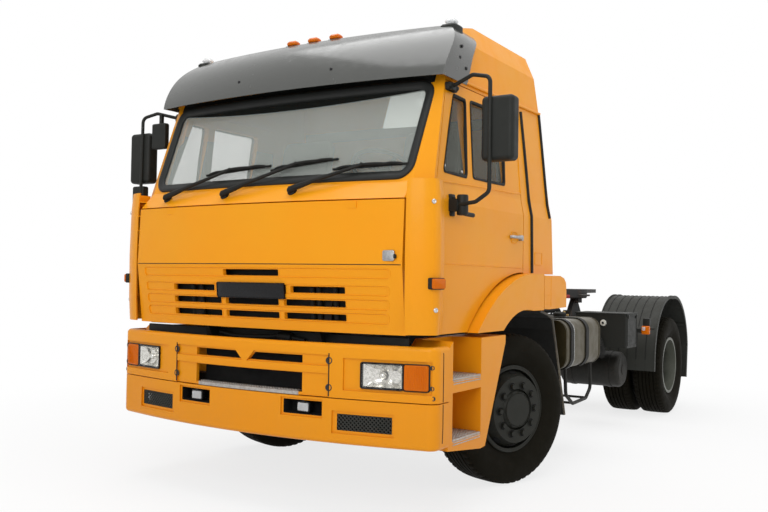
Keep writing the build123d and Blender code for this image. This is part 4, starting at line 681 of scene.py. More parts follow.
wiper_arms = Shape()
wiper_blades = Shape()
for pivot, start, end in WIPERS:
    start, end = np.array(start), np.array(end)
    foot = cowl_point(pivot, 0.0)
    wiper_arms.rings(turned(((0.030, -0.01), (0.028, 0.012), (0.020, 0.020)), foot, SCREEN_NORMAL, 16))
    wiper_arms.rings(turned(((0.017, 0.010), (0.019, 0.034), (0.012, 0.042)), foot, SCREEN_NORMAL, 12))
    hold = screen_surface((start + 0.42 * (end - start))[None], 0.026)[0]
    near = foot + 0.034 * SCREEN_NORMAL
    reach = near + (hold - near) * 0.34 + 0.006 * SCREEN_NORMAL
    arm_line = np.stack([near, near + (reach - near) * 0.5, reach, hold])
    wiper_arms.rings(tube(arm_line, np.array((0.019, 0.018, 0.013, 0.009)), 8))
    line = start + np.linspace(0, 1, 15)[:, None] * (end - start)
    wiper_blades.rings(tube(screen_surface(line, 0.001), 0.008, 6))
    wiper_blades.rings(tube(screen_surface(line[2:13], 0.016), 0.006, 6))
    for low, high in ((1, 5), (5, 9), (9, 13)):
        bow = np.sin(np.linspace(0, math.pi, high - low + 1)) * 0.016
        arch = screen_surface(line[low:high + 1], 0.0) + (bow + 0.008)[:, None] * SCREEN_NORMAL
        wiper_blades.rings(tube(arch, 0.008, 6))
    spine = np.sin(np.linspace(0.1, math.pi - 0.1, 9)) * 0.022
    arch = screen_surface(line[3:12], 0.0) + (spine + 0.008)[:, None] * SCREEN_NORMAL
    wiper_blades.rings(tube(arch, 0.009, 6))
    wiper_arms.rings(turned(((0.012, -0.014), (0.012, 0.010), (0.008, 0.014)), hold, SCREEN_NORMAL, 10))
piece("wiper_arms", "cab", "soft rubber", wiper_arms)
piece("wiper_blades", "cab", "soft rubber", wiper_blades)

# ---------------------------------------------------------------- roof lamps, visor bolts, gutters
MARKER_XS = (-0.180, 0.0, 0.180)
markers = Shape()
marker_feet = Shape()
for x in MARKER_XS:
    markers.rings(brick((x - 0.040, -0.960, 2.998), (x + 0.040, -0.900, 3.036), 0.012))
    marker_feet.rings(brick((x - 0.045, -0.964, 2.950), (x + 0.045, -0.896, 3.001), 0.004))
piece("roof_markers", "cab", "amber lens", markers, replaced=("roof_lamps",))
corner_feet = Shape().rings(brick((0.975, -0.935, 2.930), (1.085, -0.825, 2.992), 0.012))
corner_domes = Shape().rings(brick((0.992, -0.915, 2.990), (1.068, -0.850, 3.034), 0.018))
piece("corner_lamp_feet", "cab", "moulded black", corner_feet.mirrored() + marker_feet)
piece("corner_lamp_domes", "cab", "frosted lens", corner_domes.mirrored())

bolts = Shape()
bolts.rings(button(0.011, 0.006, (0.38, -1.259, 2.708), (0, -1, 0.28)))
for y, z in ((-0.967, 2.824), (-0.992, 2.751), (-0.905, 2.700)):
    bolts.rings(button(0.011, 0.006, (1.149, y, z), (1, 0, 0)))
piece("visor_bolts", "cab", "gloss black", bolts.mirrored())

trim = Shape()
drip = np.array(((-1.085, 2.630, 0.010), (-0.60, 2.634, 0.010), (-0.1, 2.639, 0.010), (0.392, 2.644, 0.010)))
trim.rings(tube(rail_path(side_surface, drip), 0.0095, 8))
piece("drip_rails", "cab", "body yellow", trim.mirrored())

# black seal strips on the cab's side behind the door, and the outline of a hatch
seals = Shape()
for points in (
    ((0.122, 1.455, 0.0), (0.105, 1.86, 0.0), (0.076, 2.25, 0.0), (0.041, 2.600, 0.0)),
    ((0.462, 1.866, 0.0), (0.440, 2.10, 0.0), (0.414, 2.40, 0.0), (0.391, 2.640, 0.0)),
):
    seals.rings(tube(rail_path(side_surface, points), 0.015, 6))
piece("side_seals", "cab", "soft rubber", seals.mirrored())

hatch = rounded((0.250, 1.560), (0.140, 0.094), 0.014, along=1)
hatch_lip = Shape().rings(laid(hatch, side_surface, lip_profile(0.006, 0.003)), wrapped=True)
piece("side_hatches", "cab", "shadow yellow", hatch_lip.mirrored())

# ---------------------------------------------------------------- marker lamps and fasteners on the corners
LEFT_OUT = ((1.218, -1.421, 1.834), (1.231, -1.406, 1.225))
corner_screws = Shape()
for place in LEFT_OUT:
    corner_screws.rings(turned(
        ((0.0135, -0.012), (0.0135, 0.003), (0.010, 0.006), (0.004, 0.003)), place, (0.78, -0.62, 0), 14,
    ))
piece("corner_screws", "cab", "bright steel", corner_screws.mirrored())

side_lamp_plane = plane((1.236, -1.402, 1.374), (0.34, 0.94, 0), (0, 0, 1))
side_base = Shape().rings(laid(
    rounded((0, 0), (0.104, 0.066), 0.010), side_lamp_plane, pad_profile(0.008, 0.003, 0.020),
))
side_lens = Shape().rings(laid(
    rounded((0, 0), (0.094, 0.057), 0.010), side_lamp_plane, pad_profile(0.024, 0.009),
))
piece("side_marker_feet", "cab", "moulded black", side_base.mirrored())
piece("side_marker_lenses", "cab", "amber lens", side_lens.mirrored())

# ---------------------------------------------------------------- doors
# corners of each pane as (y, z): bottom front, bottom rear, top rear, top front
QUARTER_PANE = ((-1.180, 2.035), (-0.868, 2.030), (-0.834, 2.520), (-1.000, 2.525))
MAIN_PANE = ((-0.785, 2.035), (-0.300, 2.040), (-0.262, 2.530), (-0.768, 2.528))


def door_pieces(side, word):
    """Handle, pane rubbers, crease line and mirror brackets of one door."""
    body, door_shapes = f"door_{word}", {}

    def outlined(points, radius, section, along=6):
        """Closed lip round a four-cornered pane: corner points y, z joined by edges with round corners."""
        corners = np.array(points)
        middle = corners.mean(0)

        def outline(inset):
            unit = rounded((0, 0), (2, 2), radius, along, corner=5)(0.0)
            s, t = (unit[:, :1] + 1) / 2, (unit[:, 1:] + 1) / 2
            flat = (1 - s) * (1 - t) * corners[0] + s * (1 - t) * corners[1]
            flat = flat + s * t * corners[2] + (1 - s) * t * corners[3]
            away = flat - middle
            return flat - inset * away / np.linalg.norm(away, axis=1, keepdims=True)

        return laid(outline, side_surface, section)

    pane_section = (
        (-0.008, -0.004), (-0.008, 0.003), (0.000, 0.006), (0.010, 0.003), (0.014, -0.012), (0.0, -0.014),
    )
    rubbers = Shape()
    rubbers.rings(outlined(QUARTER_PANE, 0.14, pane_section), True)
    rubbers.rings(outlined(MAIN_PANE, 0.10, pane_section), True)
    door_shapes["pane_rubbers"] = (rubbers, "rubber", "soft rubber")

    # screws beside the panes
    screws = Shape()
    for y, z in ((-1.010, 2.485), (-1.135, 2.075), (-0.910, 2.060)):
        place = spot(side_surface, y, z, -0.014)
        screws.rings(button(0.010, 0.006, place, (1, 0, 0.07)))
    door_shapes["pane_screws"] = (screws, "steel_greased", "bright steel")

    crease = Shape()
    line = ((-1.235, 1.492, 0.0), (-0.8, 1.490, 0.0), (-0.4, 1.489, 0.0), (-0.060, 1.488, 0.0))
    crease.rings(tube(rail_path(side_surface, line), 0.004, 6))
    belt = (
        (-1.225, 1.972, 0.000), (-0.9, 1.984, 0.000), (-0.5, 1.994, 0.000), (-0.075, 2.006, 0.000),
        (-0.040, 2.06, 0.000), (-0.052, 2.56, 0.000),
    )
    crease.rings(tube(rail_path(side_surface, belt), 0.006, 6))
    door_shapes["door_creases"] = (crease, "cab_yellow", "body yellow")

    pocket = Shape()
    pocket_outline = rounded((-0.190, 1.692), (0.110, 0.082), 0.030, along=1, corner=7)
    pocket.rings(laid(pocket_outline, side_surface, lip_profile(0.007, 0.004)), wrapped=True)
    pocket.rings(laid(
        rounded((-0.190, 1.692), (0.098, 0.070), 0.026, corner=7), side_surface, ((0, -0.001), (0, 0.0012)),
    ))
    door_shapes["handle_pocket"] = (pocket, "cab_yellow", "shadow yellow")
    handle = Shape()
    grip = (
        (-0.262, 1.694, 0.004), (-0.250, 1.694, 0.026), (-0.190, 1.694, 0.032), (-0.120, 1.693, 0.028),
        (-0.108, 1.693, 0.004),
    )
    handle.rings(tube(rail_path(side_surface, grip), 0.011, 8))
    lock_plane = facing_side(1.170, -0.098, 1.693)
    handle.rings(laid(rounded((0, 0), (0.036, 0.040), 0.012), lock_plane, pad_profile(0.026, 0.006)))
    door_shapes["door_handle"] = (handle, "steel_greased", "satin steel")

    brackets = Shape()
    upper = facing_side(1.106, -1.040, 2.560)
    brackets.rings(laid(rounded((0, 0), (0.120, 0.050), 0.012), upper, pad_profile(0.026, 0.006, 0.010)))
    brackets.rings(button(0.015, 0.014, (1.131, -1.085, 2.562), (1, 0, 0)))
    brackets.rings(button(0.015, 0.014, (1.131, -1.000, 2.558), (1, 0, 0)))
    lower = facing_side(1.168, -1.118, 1.838)
    brackets.rings(laid(rounded((0, 0), (0.052, 0.130), 0.008), lower, pad_profile(0.014, 0.004, 0.006)))
    brackets.rings(brick((1.176, -1.150, 1.806), (1.226, -1.092, 1.866), 0.006))
    brackets.rings(turned(
        ((0.030, -0.060), (0.034, -0.052), (0.034, 0.052), (0.030, 0.060)), (1.238, -1.108, 1.838), (0, 0, 1),
        14,
    ))
    brackets.rings(turned(
        ((0.012, 0.0), (0.012, 0.020), (0.008, 0.024)), (1.185, -1.120, 1.864), (0, 0, 1), 10,
    ))
    brackets.rings(tube(((1.238, -1.106, 1.792), (1.240, -1.060, 1.788), (1.242, -0.975, 1.786)), 0.014, 8))
    door_shapes["mirror_brackets"] = (brackets, "plastic_black", "moulded black")

    for name, (shape, slot, finish) in door_shapes.items():
        if side < 0:
            shape.points = [points * MIRROR for points in shape.points]
            shape.faces = [face[::-1] for face in shape.faces]
        piece(f"{name}_{word}", body, finish, shape)


for side, word in SIDES:
    door_pieces(side, word)

# ---------------------------------------------------------------- front flap and grille
latch_plane = plane((0.978, -1.5065, 1.528), (1, 0, 0), (0, 0, 1))
latch = Shape().rings(laid(rounded((0, 0), (0.078, 0.062), 0.012), latch_plane, pad_profile(0.007, 0.004)))
latch_tab = Shape().rings(laid(
    rounded((0.043, -0.004), (0.016, 0.024), 0.005), latch_plane, pad_profile(0.010, 0.003),
))
piece("flap_latch", "front_flap", "satin steel", latch)
piece("flap_latch_tab", "front_flap", "moulded black", latch_tab)

BADGE = ((0, 1.313), (0.544, 0.098))
badge_outline = rounded(*BADGE, 0.010, along=8)
badge_frame = rounded(*BADGE, 0.012, along=8)
badge = Shape().rings(laid(badge_outline, flap_surface, pad_profile(0.012, 0.004, 0.012)))
badge.rings(laid(badge_frame, flap_surface, lip_profile(0.006, 0.015)), wrapped=True)
piece("badge_plate", "front_flap", "gloss black", badge)

# thin edge lips of the long grooves, the seam above them and the screen behind the slots
groove_edges = Shape()
for z, height, half in (
    (1.424, 0.060, 0.985), (1.325, 0.060, 0.975), (1.245, 0.062, 0.970), (1.165, 0.062, 0.965),
):
    outline = rounded((0, z), (2 * half, height), 0.024, along=32)
    groove_edges.rings(
        laid(outline, flap_surface, ((-0.004, -0.001), (-0.004, 0.0015), (0.001, 0.0015), (0.004, -0.008))),
        wrapped=True,
    )
piece("grille_groove_edges", "front_flap", "panel yellow", groove_edges)
seam = np.stack([np.linspace(-1.052, 1.052, 41), np.full(41, 1.4765)], -1)
grille_seam = Shape().rings(tube(flap_surface(seam, -0.0005), 0.0028, 6))
piece("grille_seam", "front_flap", "soft rubber", grille_seam)
screen = rounded((0, 1.290), (1.460, 0.330), 0.020, along=24)
grille_screen = Shape().rings(laid(screen, flap_surface, ((0, -0.086), (0, -0.080))))
for x in (-0.560, -0.480, 0.420, 0.470, 0.585):
    grille_screen.rings(tube(flap_surface(upright(x, 1.150, 1.340, 5), -0.066), 0.016, 8))
piece("grille_screen", "front_flap", "dark lining", grille_screen)
SLOTS = (
    (1.424, ((-0.224, 0.224),)),
    (1.325, ((-0.690, -0.305), (0.305, 0.690))),
    (1.245, ((-0.690, -0.250), (-0.215, 0.215), (0.250, 0.690))),
    (1.165, ((-0.690, -0.250), (-0.215, 0.215), (0.250, 0.690))),
)
slot_lips = Shape()
for z, openings in SLOTS:
    for low, high in openings:
        outline = rounded(((low + high) / 2, z), (high - low, 0.044), 0.010, along=8)
        section = ((-0.005, -0.009), (-0.005, -0.0045), (0.001, -0.0045), (0.004, -0.030), (0.001, -0.030))
        slot_lips.rings(laid(outline, flap_surface, section), wrapped=True)
piece("grille_slot_lips", "front_flap", "panel yellow", slot_lips)

# ---------------------------------------------------------------- bumper: lamps
LAMP_LOW, LAMP_HIGH = 0.770, 0.920
LAMP_X = (0.808, 1.062)
SIGNAL_X = (1.062, 1.208)


def between(limits, low=LAMP_LOW, high=LAMP_HIGH, margin=0.0, radius=0.012, along=6):
    """Rounded outline between two x limits and two heights, drawn in by margin."""
    centre = (sum(limits) / 2, (low + high) / 2)
    size = (limits[1] - limits[0] - 2 * margin, high - low - 2 * margin)
    return rounded(centre, size, radius, along)


def sheet_grid(limits, low, high, columns, rows, depth):
    """Points of an open surface over an x and z range; depth is a function of both shares."""
    s, t = np.meshgrid(np.linspace(0, 1, columns), np.linspace(0, 1, rows))
    flat = np.stack([limits[0] + s * (limits[1] - limits[0]), low + t * (high - low)], -1)
    points = bumper_surface(flat.reshape(-1, 2), 0.0)
    points[:, 1] += depth(s, t).ravel()
    return points.reshape(rows, columns, 3)


def thick_sheet(grid, thickness):
    """Closed shell round an open grid of points: the grid, its copy set back, joined at the rim."""
    back = grid + (0, thickness, 0)
    return np.concatenate([grid, back[:, ::-1]], axis=1)


reflector = Shape()


def bowl(s, t):
    """Depth of the reflector's bowl at shares s and t of its width and height, with faint flutes."""
    to_edge = np.maximum(np.abs(2 * s - 1), np.abs(2 * t - 1))
    return 0.050 - 0.038 * to_edge**3 + 0.004 * np.sin(18 * s)


reflector.rings(thick_sheet(sheet_grid((0.820, 1.050), 0.782, 0.908, 33, 21, bowl), 0.004))
bulb_place = spot(bumper_surface, 0.925, 0.846, -0.040)
reflector.rings(turned(((0.021, 0.0), (0.019, 0.018), (0.008, 0.026)), bulb_place, (0, -1, 0), 20))
side_bulb = spot(bumper_surface, 1.005, 0.842, -0.036)
reflector.rings(turned(
    ((0.034, 0.0), (0.036, 0.010), (0.030, 0.012), (0.012, 0.004)), side_bulb, (0, -1, 0), 24,
))
piece(
    "headlamp_reflectors", "chassis", "chrome", reflector.mirrored(), crease=60,
    replaced=("headlamps",),
)

lens = Shape().rings(laid(
    between(LAMP_X, margin=0.006), bumper_surface,
    ((0, -0.010), (0, -0.004), (0.003, -0.001), (0.008, 0.000)),
))
piece("headlamp_lenses", "chassis", "lamp glass", lens.mirrored())
shell_section = (
    (0.000, -0.060), (-0.002, -0.004), (-0.001, 0.0015), (0.006, 0.0015), (0.008, -0.008), (0.008, -0.060),
)
shells = Shape().rings(laid(between(LAMP_X), bumper_surface, shell_section), wrapped=True)
shells.rings(laid(between(LAMP_X), bumper_surface, ((0.004, -0.064), (0.004, -0.058))))
piece("headlamp_surrounds", "chassis", "gloss black", shells.mirrored())

signal = Shape().rings(laid(
    between(SIGNAL_X, margin=0.003), bumper_surface,
    ((0, -0.030), (0, -0.002), (0.003, 0.002), (0.008, 0.003)),
))
ribs = Shape()
for x in np.linspace(1.076, 1.196, 13):
    ribs.rings(tube(bumper_surface(upright(x, 0.782, 0.908, 6), 0.002), 0.0028, 6))
piece(
    "signal_lenses", "chassis", "amber lens", (signal + ribs).mirrored(),
    replaced=("turn_signals",),
)
surround_section = ((0, -0.03), (-0.003, -0.002), (0.002, 0.002), (0.004, -0.02))
frames = Shape().rings(laid(between(SIGNAL_X), bumper_surface, surround_section), wrapped=True)
piece("signal_surrounds", "chassis", "moulded black", frames.mirrored())

# ---------------------------------------------------------------- bumper: fasteners, seams and vents
FIXING_X = 0.610
dark_fixings = Shape()
for x, z in ((FIXING_X, 0.918), (FIXING_X, 0.762)):
    place = spot(bumper_surface, x, z)
    dark_fixings.rings(turned(
        ((0.021, -0.003), (0.021, 0.002), (0.017, 0.003), (0.013, -0.001)), place, (0.12, -1, 0), 20,
    ))
for x, z in ((1.222, 0.905), (1.222, 0.790), (1.228, 0.735)):
    place = spot(bumper_surface, x, z)
    dark_fixings.rings(turned(
        ((0.013, -0.003), (0.013, 0.003), (0.010, 0.004), (0.007, 0.001)), place, (0.5, -1, 0), 16,
    ))
piece("bumper_fixings", "chassis", "greased steel", dark_fixings.mirrored())

seams = Shape()
seams.rings(tube(bumper_surface(upright(FIXING_X, 0.712, 0.960, 12), 0.0), 0.004, 6))
end_seam = (
    (1.2497, -1.340, 0.709), (1.2497, -1.340, 0.950), (1.2480, -1.345, 0.985), (1.2300, -1.362, 1.004),
)
seams.rings(tube(flowing(end_seam, 4), 0.0032, 6))
lower_seam = ((1.2497, -1.340, 0.697), (1.2497, -1.340, 0.560), (1.2497, -1.345, 0.480))
seams.rings(tube(flowing(lower_seam, 4), 0.0032, 6))
piece("bumper_seams", "chassis", "soft rubber", seams.mirrored())

# boxes that close the openings from behind, near black as painted shade, and what shows in them
VENTS = ((0.660, 0.995, 0.520, 0.615), (0.297, 0.561, 0.592, 0.676))
backs = Shape()
for low_x, high_x, low_z, high_z in VENTS:
    outline = between((low_x, high_x), low_z, high_z, 0.0, 0.010)
    tray = ((0.000, -0.012), (-0.004, -0.034), (-0.004, -0.095), (0.004, -0.095), (0.004, -0.034))
    backs.rings(laid(outline, bumper_surface, tray), wrapped=True)
    backs.rings(laid(outline, bumper_surface, ((-0.002, -0.100), (-0.002, -0.092))))
backs = backs.mirrored()
for low_z, high_z in ((0.893, 0.940), (0.722, 0.838)):
    outline = between((-0.425, 0.425), low_z, high_z, 0.0, 0.006, 16)
    backs.rings(laid(outline, bumper_surface, ((-0.012, -0.125), (-0.012, -0.112))))
piece("vent_backs", "chassis", "deep black", backs)

mesh_bars = Shape()
low_x, high_x, low_z, high_z = VENTS[0]
height = high_z - low_z
for start in np.arange(low_x - height, high_x, 0.024):
    for ends in (np.array((start, start + height)), np.array((start + height, start))):
        share = np.clip((np.array((low_x, high_x)) - ends[0]) / (ends[1] - ends[0]), 0, 1)
        share.sort()
        if share[1] - share[0] > 0.02:
            x = ends[0] + share * (ends[1] - ends[0])
            z = low_z + share * height
            line = np.stack([np.linspace(*x, 4), np.linspace(*z, 4)], -1)
            mesh_bars.rings(tube(bumper_surface(line, -0.016), 0.0040, 6))
piece("vent_mesh", "chassis", "mudguard black", mesh_bars.mirrored())

fog_shells = Shape()
fog_glass = Shape()
for x, z, width, height in (
    (0.427, 0.634, 0.092, 0.062), (-0.427, 0.634, 0.092, 0.062), (-0.925, 0.572, 0.055, 0.058),
):
    place = spot(bumper_surface, x, z, -0.030)
    lamp_plane = plane(place, (1, 0, 0), (0, 0, 1))
    outline = rounded((0, 0), (width, height), 0.012)
    fog_shells.rings(laid(
        outline, lamp_plane, ((0.014, -0.050), (0.002, -0.030), (0, 0.006), (0.006, 0.008)),
    ))
    fog_glass.rings(laid(
        rounded((0, 0), (width - 0.012, height - 0.012), 0.008), lamp_plane,
        ((0, 0.006), (0.002, 0.011), (0.010, 0.013)),
    ))
    fog_shells.rings(brick(
        (place[0] - 0.008, place[1] - 0.006, place[2] + height / 2 - 0.004),
        (place[0] + 0.008, place[1] + 0.030, place[2] + height / 2 + 0.012), 0.002,
    ))
piece("fog_lamp_shells", "chassis", "gloss black", fog_shells)
piece("fog_lamp_lenses", "chassis", "frosted lens", fog_glass)

# triangular gusset over the bar between the two upper openings
gusset = Shape()
half_top, gusset_low, gusset_high = 0.078, 0.872, 0.950
corners = np.array((
    (-half_top, gusset_high), (half_top, gusset_high), (0.004, gusset_low), (-0.004, gusset_low),
))
gusset.rings(np.stack([bumper_surface(corners, -0.030), bumper_surface(corners, -0.0012)]))
piece("bumper_gusset", "chassis", "panel yellow", gusset)


def tread_plate(low, high, across_x, teeth_gap=0.016):
    """Serrated tread: a plate with short upright teeth in rows."""
    shape = Shape().rings(brick(low, high, 0.002))
    xs = np.arange(low[0] + 0.014, high[0] - 0.012, teeth_gap)
    ys = np.arange(low[1] + 0.010, high[1] - 0.016, 0.040)
    for x in xs:
        for y in ys:
            size = (0.004, 0.015) if across_x else (0.015, 0.004)
            centre = (x, y + 0.012)
            top = high[2] + 0.005
            tooth = plane((0, 0, high[2] - 0.001), (1, 0, 0), (0, 1, 0))
            outline = rounded(centre, (2 * size[0], 2 * size[1]), 0.001, corner=2)
            shape.rings(laid(outline, tooth, ((0, 0), (0.0012, top - high[2]))))
    return shape


treads = Shape()
for z in (0.465, 0.815):
    treads = treads + tread_plate((1.052, -1.196, z), (1.234, -0.842, z + 0.010), True)
    treads.rings(brick((1.226, -1.200, z - 0.030), (1.239, -0.836, z + 0.012), 0.003))
    for rise in (-0.020, -0.006, 0.006):
        treads.rings(tube(
            ((1.2395, -1.196, z + rise), (1.2395, -1.02, z + rise), (1.2395, -0.840, z + rise)), 0.0035, 6,
        ))
piece("step_treads", "chassis", "tread aluminium", treads.mirrored())

sill = Shape()
line = np.linspace(-0.400, 0.400, 25)
sill_top = bumper_surface(np.stack([line, np.full(25, 0.722)], -1), 0.0)
section = np.array((
    (-0.0015, -0.018), (-0.0015, 0.002), (0.004, 0.006), (0.050, 0.006), (0.050, -0.002), (0.010, -0.002),
    (0.010, -0.018),
))
ring = sill_top[:, None] + np.stack([np.zeros(7), section[:, 0], section[:, 1]], -1)[None]
ring[:, :, 1] += 0.012
sill.rings(ring)
for x in np.arange(-0.385, 0.390, 0.020):
    y = spot(bumper_surface, x, 0.0)[1]
    for step in (0.022, 0.040):
        sill.rings(brick((x - 0.006, y + step, 0.727), (x + 0.006, y + step + 0.012, 0.733), 0.001))
piece("bumper_tread", "chassis", "tread aluminium", sill)

fold = rounded((0, 0.640), (0.560, 0.098), 0.004, along=12)
fold_lip = Shape().rings(
    laid(fold, bumper_surface, ((0, -0.004), (0, -0.0006), (0.003, -0.0006), (0.003, -0.004))), wrapped=True,
)
piece("plate_panel_edge", "chassis", "shadow yellow", fold_lip)

# dark closing panels and the pipe in the gap over the bumper
gap = Shape()
gap.rings(brick((0.470, -1.388, 0.985), (1.050, -1.378, 1.062), 0.004))
gap = gap.mirrored()
gap.rings(brick((-0.470, -1.352, 0.960), (0.470, -1.346, 1.060), 0.002))
piece("gap_panels", "chassis", "moulded black", gap)
valance = Shape().rings(brick((-1.050, -1.372, 1.068), (1.050, -1.362, 1.118), 0.003))
piece("cab_valance", "cab", "dark lining", valance)
pipe = Shape()
pipe.rings(tube(
    flowing((
        (-0.400, -1.372, 1.034), (-0.250, -1.374, 1.014), (0.0, -1.374, 1.020), (0.120, -1.372, 1.030),
        (0.300, -1.370, 1.010),
    )),
    0.013, 10,
))
pipe.rings(turned(
    ((0.024, -0.05), (0.028, -0.04), (0.028, 0.04), (0.024, 0.05)), (0.150, -1.376, 1.026), (1, 0, -0.1), 14,
))
piece("gap_pipe", "chassis", "chassis black", pipe)

# ---------------------------------------------------------------- fuel tank, box, drum and mudguards
TANK_MIDDLE = (0.895, 0.904)
TANK_SIZE = (0.610, 0.384)


def across_tank(y):
    """Plane square to the vehicle's length at y, with x to the left and z up."""
    return lambda points, lift: np.stack([points[:, 0], np.full(len(points), y + lift), points[:, 1]], -1)


def belt(y, width, thickness, grow=0.0):
    """Strap round the tank: a flat band as wide as width whose outside stands thickness proud."""
    outline = rounded(TANK_MIDDLE, TANK_SIZE, 0.095, corner=9)
    section = ((0.0, 0), (-thickness, 0), (-thickness - grow, width / 2), (-thickness, width), (0.0, width))
    return laid(outline, across_tank(y), section)


straps = Shape()
for y in (0.862, 1.215):
    straps.rings(belt(y, 0.066, 0.009), wrapped=True)
for z in (0.722, 1.086):
    for y in (0.862, 1.215):
        straps.rings(brick((0.700, y - 0.004, z - 0.012), (0.760, y + 0.066, z + 0.012), 0.004))
piece("tank_straps", "chassis", "soft rubber", straps.mirrored())
rims = Shape()
for y in (0.762, 0.782, 1.560, 1.578):
    rims.rings(belt(y, 0.010, 0.0025, 0.001), wrapped=True)
bright = Shape().rings(belt(0.931, 0.009, 0.007, 0.002), wrapped=True)
piece("tank_end_rims", "chassis", "tank paint", rims.mirrored())
piece("tank_edge_line", "chassis", "bright steel", bright.mirrored())
cap = Shape().rings(turned(
    ((0.050, -0.01), (0.050, 0.012), (0.056, 0.016), (0.056, 0.036), (0.046, 0.044)), (0.905, 1.410, 1.093),
    (0, 0, 1), 24,
))
cap.rings(brick((0.870, 1.402, 1.130), (0.940, 1.418, 1.142), 0.003))
piece("tank_caps", "chassis", "moulded black", cap.mirrored())

box_trim = Shape()
lid_plane = facing_side(1.200, 2.548, 0.946)
box_trim.rings(
    laid(rounded((0, 0.004), (0.300, 0.288), 0.012), lid_plane, lip_profile(0.008, 0.004)), wrapped=True,
)
box_trim.rings(laid(rounded((0.0, 0.146), (0.330, 0.020), 0.004), lid_plane, pad_profile(0.006, 0.002)))
box_trim.rings(brick((0.700, 2.376, 1.100), (1.206, 2.720, 1.112), 0.004))
for z in (0.85, 0.90, 0.95, 1.00, 1.05):
    box_trim.rings(tube(((1.2010, 2.400, z), (1.2012, 2.470, z), (1.2010, 2.540, z)), 0.003, 6))
for y in (2.42, 2.68):
    box_trim.rings(brick((1.196, y - 0.016, 1.060), (1.212, y + 0.016, 1.098), 0.003))
piece("side_box_trim", "chassis", "moulded black", box_trim.mirrored())
filler = turned(
    ((0.030, -0.02), (0.030, 0.004), (0.026, 0.010), (0.018, 0.012)), (0.978, 2.378, 1.017), (0, -1, 0), 24,
)
filler_core = turned(((0.011, 0.0), (0.011, 0.016), (0.008, 0.018)), (0.978, 2.378, 1.017), (0, -1, 0), 16)
piece("box_filler", "chassis", "pale plastic", Shape().rings(filler).mirrored())
piece("box_filler_core", "chassis", "moulded black", Shape().rings(filler_core).mirrored())

bands = Shape()
for x in (0.560, 0.930):
    bands.rings(
        turned(
            ((0.170, -0.022), (0.1775, -0.020), (0.1775, 0.020), (0.170, 0.022)), (x, 2.800, 0.548),
            (1, 0, 0), 36,
        ),
        wrapped=False,
    )
bands.rings(turned(((0.058, -0.004), (0.054, 0.008), (0.020, 0.010)), (1.045, 2.800, 0.548), (1, 0, 0), 24))
bands.rings(
    turned(((0.150, -0.006), (0.146, 0.001), (0.138, -0.002)), (1.042, 2.800, 0.548), (1, 0, 0), 36),
    wrapped=False,
)
piece("air_tank_bands", "chassis", "chassis black", bands.mirrored())

hoses = Shape()
hoses.rings(tube(
    flowing((
        (0.60, 2.70, 0.66), (0.66, 2.58, 0.70), (0.80, 2.50, 0.735), (0.92, 2.54, 0.77), (0.96, 2.60, 0.80),
    )),
    0.014, 8,
))
hoses.rings(tube(
    flowing((
        (0.50, 2.62, 0.70), (0.62, 2.50, 0.62), (0.74, 2.44, 0.60), (0.80, 2.48, 0.68), (0.84, 2.52, 0.79),
    )),
    0.010, 8,
))
hoses.rings(tube(
    flowing((
        (0.43, 1.75, 0.90), (0.55, 1.80, 0.86), (0.60, 2.00, 0.84), (0.56, 2.20, 0.86), (0.43, 2.28, 0.88),
    )),
    0.010, 8,
))
piece("air_hoses", "chassis", "soft rubber", hoses.mirrored())
elbow = flowing(
    (
        (0.780, 2.080, 0.930), (0.860, 2.220, 0.920), (0.935, 2.310, 0.880), (0.960, 2.340, 0.815),
        (0.930, 2.480, 0.740), (0.880, 2.640, 0.690),
    ),
    14,
)
ribbed = 0.034 + 0.005 * np.sin(np.arange(len(elbow)) * 2.1)
piece("ribbed_hose", "chassis", "soft rubber", Shape().rings(tube(elbow, ribbed, 14)).mirrored())
coil = Shape()
phase = np.linspace(0, 1, 60)
coil_line = np.stack(
    [0.50 + 0.12 * phase, 2.56 + 0.020 * np.cos(phase * 34), 0.60 + 0.020 * np.sin(phase * 34)], -1,
)
coil.rings(tube(coil_line, 0.004, 6))
piece("orange_air_line", "chassis", "orange plastic", coil)

# mudguard skin: an arc through three points measured from the rear axle, and its straight tail
GUARD_ARCS = (
    ((-0.735, 0.640), (-0.535, 1.075), (0.0, 1.246)), ((0.0, 1.246), (0.515, 1.060), (0.683, 0.700)),
)


def arc_through(start, middle, end, count):
    """Points of the circle through three points, from start to end."""
    (ax, ay), (bx, by), (cx, cy) = start, middle, end
    spread = 2 * (ax * (by - cy) + bx * (cy - ay) + cx * (ay - by))
    a2, b2, c2 = ax**2 + ay**2, bx**2 + by**2, cx**2 + cy**2
    centre = np.array((
        a2 * (by - cy) + b2 * (cy - ay) + c2 * (ay - by), a2 * (cx - bx) + b2 * (ax - cx) + c2 * (bx - ax),
    )) / spread
    angles = [math.atan2(y - centre[1], x - centre[0]) for x, y in (start, middle, end)]
    angles = np.unwrap(angles)
    turn = np.linspace(angles[0], angles[2], count)
    return centre + np.hypot(*(np.array(start) - centre)) * np.stack([np.cos(turn), np.sin(turn)], -1)


